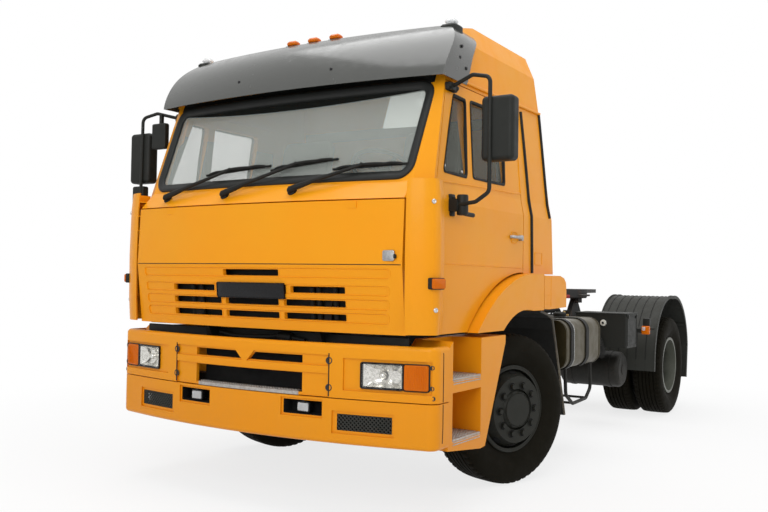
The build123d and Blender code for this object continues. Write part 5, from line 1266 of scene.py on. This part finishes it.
guard_line = np.concatenate([arc_through(*GUARD_ARCS[0], 25), arc_through(*GUARD_ARCS[1], 25)[1:]])
guard_run = np.gradient(guard_line, axis=0)
guard_out = np.stack([-guard_run[:, 1], guard_run[:, 0]], -1)
guard_out /= np.linalg.norm(guard_out, axis=1, keepdims=True)
tail_front = np.linspace((-0.748, 0.507), guard_line[0], 6)[:-1]
tail_rear = np.linspace(guard_line[-1], (0.640, 0.334), 8)[1:]
rib_line = np.concatenate([tail_front, guard_line + guard_out * 0.004, tail_rear])
# raised ribs along the guard, coloured darker than it as lines of painted shade
ridges = Shape()
for x in (0.700, 0.785, 0.875, 0.965, 1.055, 1.150):
    line = np.stack([np.full(len(rib_line), x), WHEELBASE + rib_line[:, 0], rib_line[:, 1]], -1)
    ridges.rings(tube(line, 0.0055, 6))
piece("mudguard_ribs", "chassis", "soft rubber", ridges.mirrored())
ridges = Shape()
edge_line = guard_line + guard_out * 0.011
edge = np.stack([np.full(len(edge_line), 1.240), WHEELBASE + edge_line[:, 0], edge_line[:, 1]], -1)
ridges.rings(tube(edge, 0.0055, 6))
piece("mudguard_edges", "chassis", "mudguard black", ridges.mirrored())

guard_marker = Shape().rings(brick((1.160, 3.018, 0.888), (1.236, 3.070, 0.970), 0.008))
guard_face = Shape().rings(brick((1.170, 3.010, 0.925), (1.200, 3.020, 0.960), 0.003))
piece("guard_marker_windows", "chassis", "frosted lens", guard_face.mirrored())
guard_bracket = Shape().rings(brick((1.080, 3.036, 0.900), (1.165, 3.076, 0.945), 0.004))
guard_bracket.rings(brick((1.160, 3.070, 0.968), (1.225, 3.130, 1.045), 0.004))
piece("guard_markers", "chassis", "amber lens", guard_marker.mirrored())
piece("guard_marker_brackets", "chassis", "moulded black", guard_bracket.mirrored())

flap_edge = flowing(
    ((1.198, 0.222, 1.186), (1.198, 0.440, 1.130), (1.198, 0.500, 1.040), (1.198, 0.748, 0.378)), 5,
)
piece(
    "mud_flap_edges", "chassis", "worn edge",
    Shape().rings(tube(flap_edge, 0.009, 6)).mirrored(),
)

# arch mouldings: seam lines on the rear part, dark join between front and rear
ARCH_FACE_X = 1.2402
arch_marks = Shape()
arch_marks.rings(tube([(ARCH_FACE_X, 0.330, z) for z in (1.215, 1.33, 1.438)], 0.002, 6))
for z in (1.235, 1.300):
    arch_marks.rings(tube([(ARCH_FACE_X, y, z) for y in (0.215, 0.26, 0.315)], 0.002, 6))
piece("arch_seams", "chassis", "shadow yellow", arch_marks.mirrored())

# fifth wheel: grease grooves' ribs, lock lever, red and brass fittings between the plate and its base
rear_mid = WHEELBASE - 0.550
lever = Shape()
lever.rings(tube(
    flowing((
        (0.10, rear_mid - 0.05, 1.262), (0.30, rear_mid - 0.10, 1.262), (0.46, rear_mid - 0.12, 1.258),
        (0.52, rear_mid - 0.06, 1.258),
    )),
    0.010, 8,
))
piece("lock_lever", "fifth_wheel", "cast iron", lever)
plate_ribs = Shape()
turn = np.linspace(math.radians(140), math.radians(400), 72)
skirt_section = np.array((
    (0.424, -0.044), (0.424, -0.090), (0.438, -0.096), (0.448, -0.086), (0.449, -0.040), (0.440, -0.036),
))
spokes = np.stack([np.cos(turn), np.sin(turn), np.zeros(72)], -1)
plate_middle = np.array((0.0, rear_mid, 1.320))
skirt = skirt_section[None, :, :1] * spokes[:, None] + skirt_section[None, :, 1:] * UP
plate_ribs.rings(plate_middle + skirt)
for radius in (0.300, 0.380):
    turn = np.linspace(math.radians(165), math.radians(375), 40)
    line = np.stack([radius * np.cos(turn), rear_mid + radius * np.sin(turn), np.full(40, 1.3195)], -1)
    plate_ribs.rings(tube(line, 0.0035, 5))
for lean in (-1, 1):
    plate_ribs.rings(brick(
        (lean * 0.24 - 0.012, rear_mid - 0.30, 1.245), (lean * 0.24 + 0.012, rear_mid + 0.16, 1.284), 0.004,
    ))
piece("fifth_wheel_ribs", "fifth_wheel", "greased steel", plate_ribs)
couplings = Shape()
coupling_plate = Shape().rings(brick(
    (0.358, rear_mid - 0.418, 0.998), (0.430, rear_mid - 0.410, 1.105), 0.002,
))
for x, z in ((0.376, 1.082), (0.412, 1.050)):
    couplings.rings(turned(
        ((0.013, 0.0), (0.016, 0.010), (0.016, 0.026), (0.010, 0.040)), (x, rear_mid - 0.417, z), (0, -1, 0),
        14,
    ))
piece("coupling_plates", "chassis", "chassis black", coupling_plate.mirrored())
piece("brass_couplings", "chassis", "brass", couplings.mirrored())
red = Shape().rings(brick((0.300, rear_mid - 0.35, 1.226), (0.380, rear_mid - 0.27, 1.262), 0.006))
piece("red_grease_caps", "fifth_wheel", "red plastic", red.mirrored())

# rail furniture: bolt heads along the webs, and cable looms on the top flanges
rail_bolts = Shape()
for y in np.arange(-0.90, 4.50, 0.300):
    for z in (0.800, 0.930):
        rail_bolts.rings(turned(
            ((0.013, -0.003), (0.013, 0.008), (0.009, 0.011)), (0.430, y, z), (1, 0, 0), 6,
        ))
piece("rail_bolts", "chassis", "chassis black", rail_bolts.mirrored())
loom = Shape()
loom.rings(tube(
    flowing((
        (0.395, 0.30, 1.012), (0.402, 0.9, 1.010), (0.390, 1.6, 1.012), (0.398, 2.2, 1.010),
        (0.392, 2.85, 1.012),
    )),
    0.012, 6,
))
loom.rings(tube(
    flowing(((0.370, 0.30, 1.008), (0.364, 1.0, 1.008), (0.372, 1.7, 1.008), (0.366, 2.9, 1.008))), 0.008, 6,
))
piece("rail_looms", "chassis", "soft rubber", loom.mirrored())

# air and cable pipes on posts over each rail, from behind the cab to the fifth wheel
services = Shape()
for x, z, radius in ((0.415, 1.118, 0.026), (0.372, 1.096, 0.016), (0.430, 1.062, 0.014)):
    run = ((x, 0.95, 1.03), (x, 1.02, z), (x, 1.70, z), (x, 2.40, z), (x, 2.66, z), (x, 2.74, 1.02))
    services.rings(tube(flowing(run, 6), radius, 10))
for y in (1.20, 1.75, 2.30, 2.62):
    services.rings(brick((0.362, y - 0.012, 0.995), (0.374, y + 0.012, 1.130), 0.002))
    services.rings(brick((0.362, y - 0.020, 1.084), (0.448, y + 0.020, 1.094), 0.002))
piece("service_pipes", "chassis", "soft rubber", services.mirrored())

# spring clips and U-bolts over the axles
clips = Shape()
for y in (-0.075, 0.075):
    for x in (0.440, 0.510):
        clips.rings(tube(flowing(((x, y, 0.42), (x, y, 0.50), (x, y, 0.60), (x, y, 0.66)), 3), 0.011, 8))
piece("spring_bolts", "chassis", "cast iron", clips.mirrored())
lamp_rims = Shape()
for x0, x1 in ((0.448, 0.504), (0.510, 0.566), (0.572, 0.622)):
    rear_plane = plane((0, WHEELBASE + 0.695, 0), (-1, 0, 0), (0, 0, 1))
    lamp_rims.rings(
        laid(
            rounded((-(x0 + x1) / 2, 0.835), (x1 - x0, 0.098), 0.012), rear_plane, lip_profile(0.005, 0.004),
        ),
        wrapped=True,
    )
piece("tail_lamp_rims", "chassis", "moulded black", lamp_rims.mirrored())

# ---------------------------------------------------------------- wheels and tyres
KINGPIN_X = 0.875
KINGPIN_TO_WHEEL = 0.150
DUAL_SPACING = 0.335
REAR_WHEEL_X = 1.091
DISC_FACE = 0.167
STUD_CIRCLE = 0.1675
STUDS = 10
# profiles about a stud: (radius, height)
NUT_COLLAR = ((0.031, -0.002), (0.031, 0.002), (0.028, 0.004), (0.026, 0.001))
NUT_WELL = ((0.0285, -0.002), (0.0285, 0.0028), (0.018, 0.0030))
# middle line of the disc's cone, across which the hand holes lie: (radius, along the axle)
CONE_INNER = np.array((0.233, 0.153))
CONE_OUTER = np.array((0.266, 0.088))


def wheel_frame(side, front):
    """Centre and outward axle direction of a wheel, both in the front axle's frame."""
    if not front:
        return np.array((side * REAR_WHEEL_X, WHEELBASE, TYRE_RADIUS)), np.array((side, 0.0, 0.0))
    axle = side * np.array((math.cos(REST_STEER), math.sin(REST_STEER), 0.0))
    return np.array((side * KINGPIN_X, 0.0, TYRE_RADIUS)) + KINGPIN_TO_WHEEL * axle, axle


def sidewall():
    """Half section from bead to shoulder as (radius, half width), with three raised rings."""
    bead_to_shoulder = np.array(
        ((0.2875, 0.1050), (0.296, 0.1058), (0.310, 0.1100), (0.345, 0.1270), (0.385, 0.1440),
         (0.420, 0.1485), (0.455, 0.1465), (0.482, 0.1395), (0.497, 0.1310), (0.506, 0.1220))
    )
    curve = flowing(bead_to_shoulder, 5)
    for radius in (0.318, 0.402, 0.470):
        curve[:, 1] += 0.0012 * np.exp(-(((curve[:, 0] - radius) / 0.003) ** 2))
    curve[:, 1] = np.minimum(curve[:, 1], 0.1488)
    return curve


# grooves round the tread: (middle across the tread, half width)
GROOVES = ((0.0, 0.006), (0.036, 0.0055), (0.075, 0.0055))
GROOVE_DEPTH = 0.013
TREAD_HALF = 0.118
LUGS = 60


def tyre_rings(centre, axle, steps=240):
    """Ring surface of a tyre: the section turned about the axle.

    Across the tread the radius is the crown's, less the depth of the grooves that run round it
    and of the notches that repeat LUGS times round both shoulders.
    """
    side = sidewall()
    width = np.linspace(TREAD_HALF, -TREAD_HALF, 73)
    crown = TYRE_RADIUS - 0.0052 * (width / TREAD_HALF) ** 4
    for middle, half in GROOVES:
        for sign in ((1,) if middle == 0 else (1, -1)):
            crown = crown - GROOVE_DEPTH * (np.abs(width - sign * middle) < half)
    section = np.concatenate([side, np.stack([crown, width], -1), side[::-1] * (1, -1)])
    turn = np.arange(steps) * 2 * math.pi / steps
    notch = (np.arange(steps) % (steps // LUGS) == 0)[None, :]
    shoulder = ((np.abs(section[:, 1]) > 0.092) & (section[:, 0] > 0.500))[:, None]
    radius = section[:, :1] - 0.008 * (notch & shoulder)
    spoke = np.cos(turn)[None, :, None] * np.cross(axle, UP) + np.sin(turn)[None, :, None] * UP
    return centre + radius[..., None] * spoke + section[:, 1][:, None, None] * axle


def spokes_about(axle, turns):
    """Unit vectors square to the axle, one for each angle."""
    first = np.cross(axle, UP)
    return [math.cos(turn) * first + math.sin(turn) * UP for turn in turns]


def on_studs(centre, axle, along, sections):
    """Each (profile, steps) of the sections turned about each stud of the bolting circle."""
    shape = Shape()
    for spoke in spokes_about(axle, np.arange(STUDS) * 2 * math.pi / STUDS):
        foot = centre + axle * along + STUD_CIRCLE * spoke
        for profile, steps in sections:
            shape.rings(turned(profile, foot, axle, steps))
    return shape


def nut_ring(centre, axle, along, height):
    """Round-headed nuts on their collars, each as tall as height."""
    nut = ((0.0185, 0.000), (0.0185, height - 0.008), (0.015, height - 0.002), (0.008, height))
    return on_studs(centre, axle, along, ((NUT_COLLAR, 20), (nut, 12)))


def front_face(centre, axle):
    """Hub cover rings and the rolled edge of a front wheel's disc."""
    shape = Shape()
    for inner, outer, along in ((0.1145, 0.1185, 0.1795), (0.2195, 0.2255, 0.1655)):
        middle = (inner + outer) / 2
        section = ((inner, -0.003), (inner, 0.001), (middle, 0.0028), (outer, 0.001), (outer, -0.003))
        shape.rings(turned(section, centre + axle * along, axle, 64), wrapped=True)
    rim = ((0.2975, 0.116), (0.2975, 0.121), (0.292, 0.1235), (0.286, 0.121), (0.286, 0.116))
    shape.rings(turned(rim, centre, axle, 96), wrapped=True)
    return shape


def hand_holes(centre, axle):
    """Oval openings on the disc's cone, drawn as near-black plates of painted shade that lie a millimetre
    proud of it.
    """
    shape = Shape()
    middle = (CONE_INNER + CONE_OUTER) / 2
    slope = CONE_OUTER - CONE_INNER
    turns = (np.arange(STUDS) + 0.5) * 2 * math.pi / STUDS
    for turn, spoke in zip(turns, spokes_about(axle, turns)):
        round_way = -math.sin(turn) * np.cross(axle, UP) + math.cos(turn) * UP
        down = (slope[0] * spoke + slope[1] * axle) / np.hypot(*slope)
        flat = plane(centre + middle[0] * spoke + middle[1] * axle, round_way, down)
        outline = rounded((0, 0), (0.062, 0.040), 0.018, corner=7)
        for height in (0.0016, -0.0050):
            shape.rings(laid(outline, flat, ((0, -0.003), (0, height))))
    return shape


for side, word in SIDES:
    centre, axle = wheel_frame(side, True)
    name = f"front_{word}"
    tyre = Shape().rings(tyre_rings(centre, axle), wrapped=True)
    piece(f"treaded_{name}", f"wheel_{name}", "tyre rubber", tyre, replaced=(f"tyre_{name}",))
    dressing = nut_ring(centre, axle, DISC_FACE, 0.017) + front_face(centre, axle)
    piece(f"wheel_nuts_{name}", f"wheel_{name}", "wheel dark", dressing)
    # near-black rings in the recess round each nut: painted shade
    wells = on_studs(centre, axle, DISC_FACE, ((NUT_WELL, 20),))
    piece(f"nut_wells_{name}", f"wheel_{name}", "deep black", wells)
    piece(f"hand_holes_{name}", f"wheel_{name}", "deep black", hand_holes(centre, axle))

    centre, axle = wheel_frame(side, False)
    name = f"rear_{word}"
    twins = Shape()
    for along in (0.0, -DUAL_SPACING):
        twins.rings(tyre_rings(centre + axle * along, axle), wrapped=True)
    piece(f"treaded_{name}", f"wheel_{name}", "tyre rubber", twins, replaced=(f"tyre_{name}",))
    nuts = nut_ring(centre, axle, -DISC_FACE + 0.015, 0.026)
    piece(f"wheel_nuts_{name}", f"wheel_{name}", "wheel grey", nuts)

# ---------------------------------------------------------------- seats, bunk and cab lining
SEAT_X = 0.560
FLOOR_Z = 1.490


def cushion(centre, size, across, up, crown, channels, pull=0.06):
    """Closed padded form.

    A grid of angles is pushed to a rounded box by a power of 0.28, its faces swell by crown at the
    middle, its corners stay where they are while the edges between them pull in, and channels are
    narrow troughs at given shares of the width.
    """
    across, up = np.asarray(across, float), np.asarray(up, float)
    out = np.cross(across, up)
    tall = np.linspace(-math.pi / 2, math.pi / 2, 41)[:, None]
    turn = np.linspace(0, 2 * math.pi, 96, endpoint=False)[None, :]
    power = lambda value: np.sign(value) * np.abs(value) ** 0.28
    s = power(np.cos(tall)) * power(np.cos(turn))
    t = power(np.cos(tall)) * power(np.sin(turn))
    n = power(np.sin(tall)) + 0 * turn
    swell = crown * (1 - s**2) * (1 - t**2)
    trough = sum(np.exp(-(((s - place) / 0.035) ** 2)) for place in channels)
    thick = n * (1 + swell) - 0.10 * np.sign(n) * np.minimum(trough, 1) * (np.abs(n) > 0.6) * (1 - t**4)
    half = np.asarray(size, float) / 2
    x = half[0] * s * (1 - pull * (1 - t**2))
    y = half[1] * t * (1 - pull * (1 - s**2))
    points = np.asarray(centre) + x[..., None] * across + y[..., None] * up
    return points + (half[2] * thick)[..., None] * out


seat_pedestals = Shape()
for x in (SEAT_X, -SEAT_X):
    seat_pedestals.rings(brick((x - 0.160, -0.740, FLOOR_Z), (x + 0.160, -0.380, FLOOR_Z + 0.290), 0.02))
piece("seat_pedestals", "cab", "dash plastic", seat_pedestals, replaced=("seats",))
back_up = np.array((0.0, 0.216, 0.976))
for x, word in ((SEAT_X, "left"), (-SEAT_X, "right")):
    base = cushion(
        (x, -0.565, FLOOR_Z + 0.360), (0.490, 0.500, 0.120), (1, 0, 0), (0, 1, 0), 0.14, (-0.62, 0.62),
    )
    back = cushion((x, -0.272, FLOOR_Z + 0.695), (0.480, 0.580, 0.088), (1, 0, 0), back_up, 0.12, (-0.6, 0.6))
    for part, rings in (("seat_cushion", base), ("seat_back", back)):
        made = piece(f"{part}_{word}", "cab", "seat cloth", Shape().rings(rings), crease=80)
bunk_pad = cushion(
    (0, 0.235, FLOOR_Z + 0.440), (2.120, 0.390, 0.150), (1, 0, 0), (0, 1, 0), 0.10, (-0.5, 0.0, 0.5), 0.02,
)
made = piece(
    "bunk_mattress", "cab", "seat cloth", Shape().rings(bunk_pad), crease=80, replaced=("bunk",),
)
bunk_box = Shape().rings(brick((-1.075, 0.032, FLOOR_Z), (1.075, 0.436, FLOOR_Z + 0.365), 0.02))
piece("bunk_base", "cab", "dash plastic", bunk_box)

cluster = Shape()
cluster.rings(brick((0.340, -1.130, 1.905), (0.800, -1.000, 2.010), 0.030))
for x in (-0.75, -0.45, 0.0, 0.95):
    cluster.rings(brick((x - 0.05, -1.012, 1.905), (x + 0.05, -1.000, 1.945), 0.006))
piece("instrument_hood", "cab", "dash plastic", cluster)


# ---------------------------------------------------------------- camera, light and ground
CAMERA_PLACE = Vector((3.522, -7.164, 1.394))
YAW, PITCH, ROLL = math.radians(31.95), math.radians(1.55), math.radians(0.92)


def place_camera():
    """Camera at a standing height ahead of the left corner, aimed by yaw and pitch, rolled slightly."""
    forward = Vector((-math.sin(YAW) * math.cos(PITCH), math.cos(YAW) * math.cos(PITCH), math.sin(PITCH)))
    right = forward.cross(Vector((0, 0, 1))).normalized()
    up = right.cross(forward)
    across = right * math.cos(ROLL) + up * math.sin(ROLL)
    upward = up * math.cos(ROLL) - right * math.sin(ROLL)
    turn = Matrix((across, upward, -forward)).transposed().to_4x4()
    data = bpy.data.cameras.new("camera")
    data.sensor_width = 36.0
    data.lens = 40.35
    data.clip_end = 200.0
    camera = bpy.data.objects.new("camera", data)
    camera.matrix_world = Matrix.Translation(CAMERA_PLACE) @ turn
    bpy.context.scene.collection.objects.link(camera)
    bpy.context.scene.camera = camera


place_camera()


def soft_light(name, place, target, size, power):
    """Large square lamp at place, turned to face target."""
    data = bpy.data.lights.new(name, "AREA")
    data.size = size
    data.energy = power
    lamp = bpy.data.objects.new(name, data)
    lamp.location = place
    lamp.rotation_euler = (Vector(target) - Vector(place)).to_track_quat("-Z", "Y").to_euler()
    bpy.context.scene.collection.objects.link(lamp)


soft_light("overhead softbox", (0.5, -1.0, 9.0), (0, 0, 0), 9.0, 600)
soft_light("front softbox", (3.0, -11.0, 5.5), (0, -2, 1.2), 6.0, 440)
soft_light("side softbox", (10.0, 1.0, 5.0), (0, 0, 1.0), 6.0, 130)


def pale_ground():
    """Flat square of pale ground; seen directly it is lifted towards white and keeps the shadow."""
    half = 60.0
    mesh = bpy.data.meshes.new("ground")
    mesh.from_pydata(
        [(-half, -half, 0), (half, -half, 0), (half, half, 0), (-half, half, 0)], [], [(0, 1, 2, 3)],
    )
    ground = bpy.data.objects.new("ground", mesh)
    bpy.context.scene.collection.objects.link(ground)
    made = Finish("pale ground", roughness=0.9)
    made.colour((0.80, 0.80, 0.80))
    rays = ("Is Camera Ray", "Is Glossy Ray", "Is Transmission Ray")
    path = [made.node("ShaderNodeLightPath", out=key) for key in rays]
    distance = (made.x * made.x + made.y * made.y) ** 0.5
    seen = (path[0] + path[1] + path[2]).clamped() * (0.78 + 0.22 * distance.ramp(2.5, 6.0))
    glow = made.node("ShaderNodeEmission", None, {"Color": (1, 1, 1), "Strength": 1.0})
    joined = made.node("ShaderNodeMixShader", None, {0: seen, 1: Wire(made, made.shader.outputs[0]), 2: glow})
    made.tree.links.new(joined.socket, made.tree.nodes["Material Output"].inputs["Surface"])
    mesh.materials.append(made.material)


pale_ground()


def pale_sky():
    """World of even light, white where it is seen directly or in gloss and glass."""
    world = bpy.data.worlds.new("pale sky")
    world.use_nodes = True
    tree = world.node_tree
    background = tree.nodes["Background"]
    path = tree.nodes.new("ShaderNodeLightPath")
    background.inputs["Color"].default_value = (1, 1, 1, 1)
    total = path.outputs["Is Camera Ray"]
    for key in ("Is Glossy Ray", "Is Transmission Ray"):
        added = tree.nodes.new("ShaderNodeMath")
        tree.links.new(total, added.inputs[0])
        tree.links.new(path.outputs[key], added.inputs[1])
        total = added.outputs[0]
    strength = tree.nodes.new("ShaderNodeMapRange")
    tree.links.new(total, strength.inputs[0])
    strength.inputs[3].default_value = 0.46
    strength.inputs[4].default_value = 1.0
    tree.links.new(strength.outputs[0], background.inputs["Strength"])
    bpy.context.scene.world = world


pale_sky()
bpy.context.scene.view_settings.view_transform = "Standard"
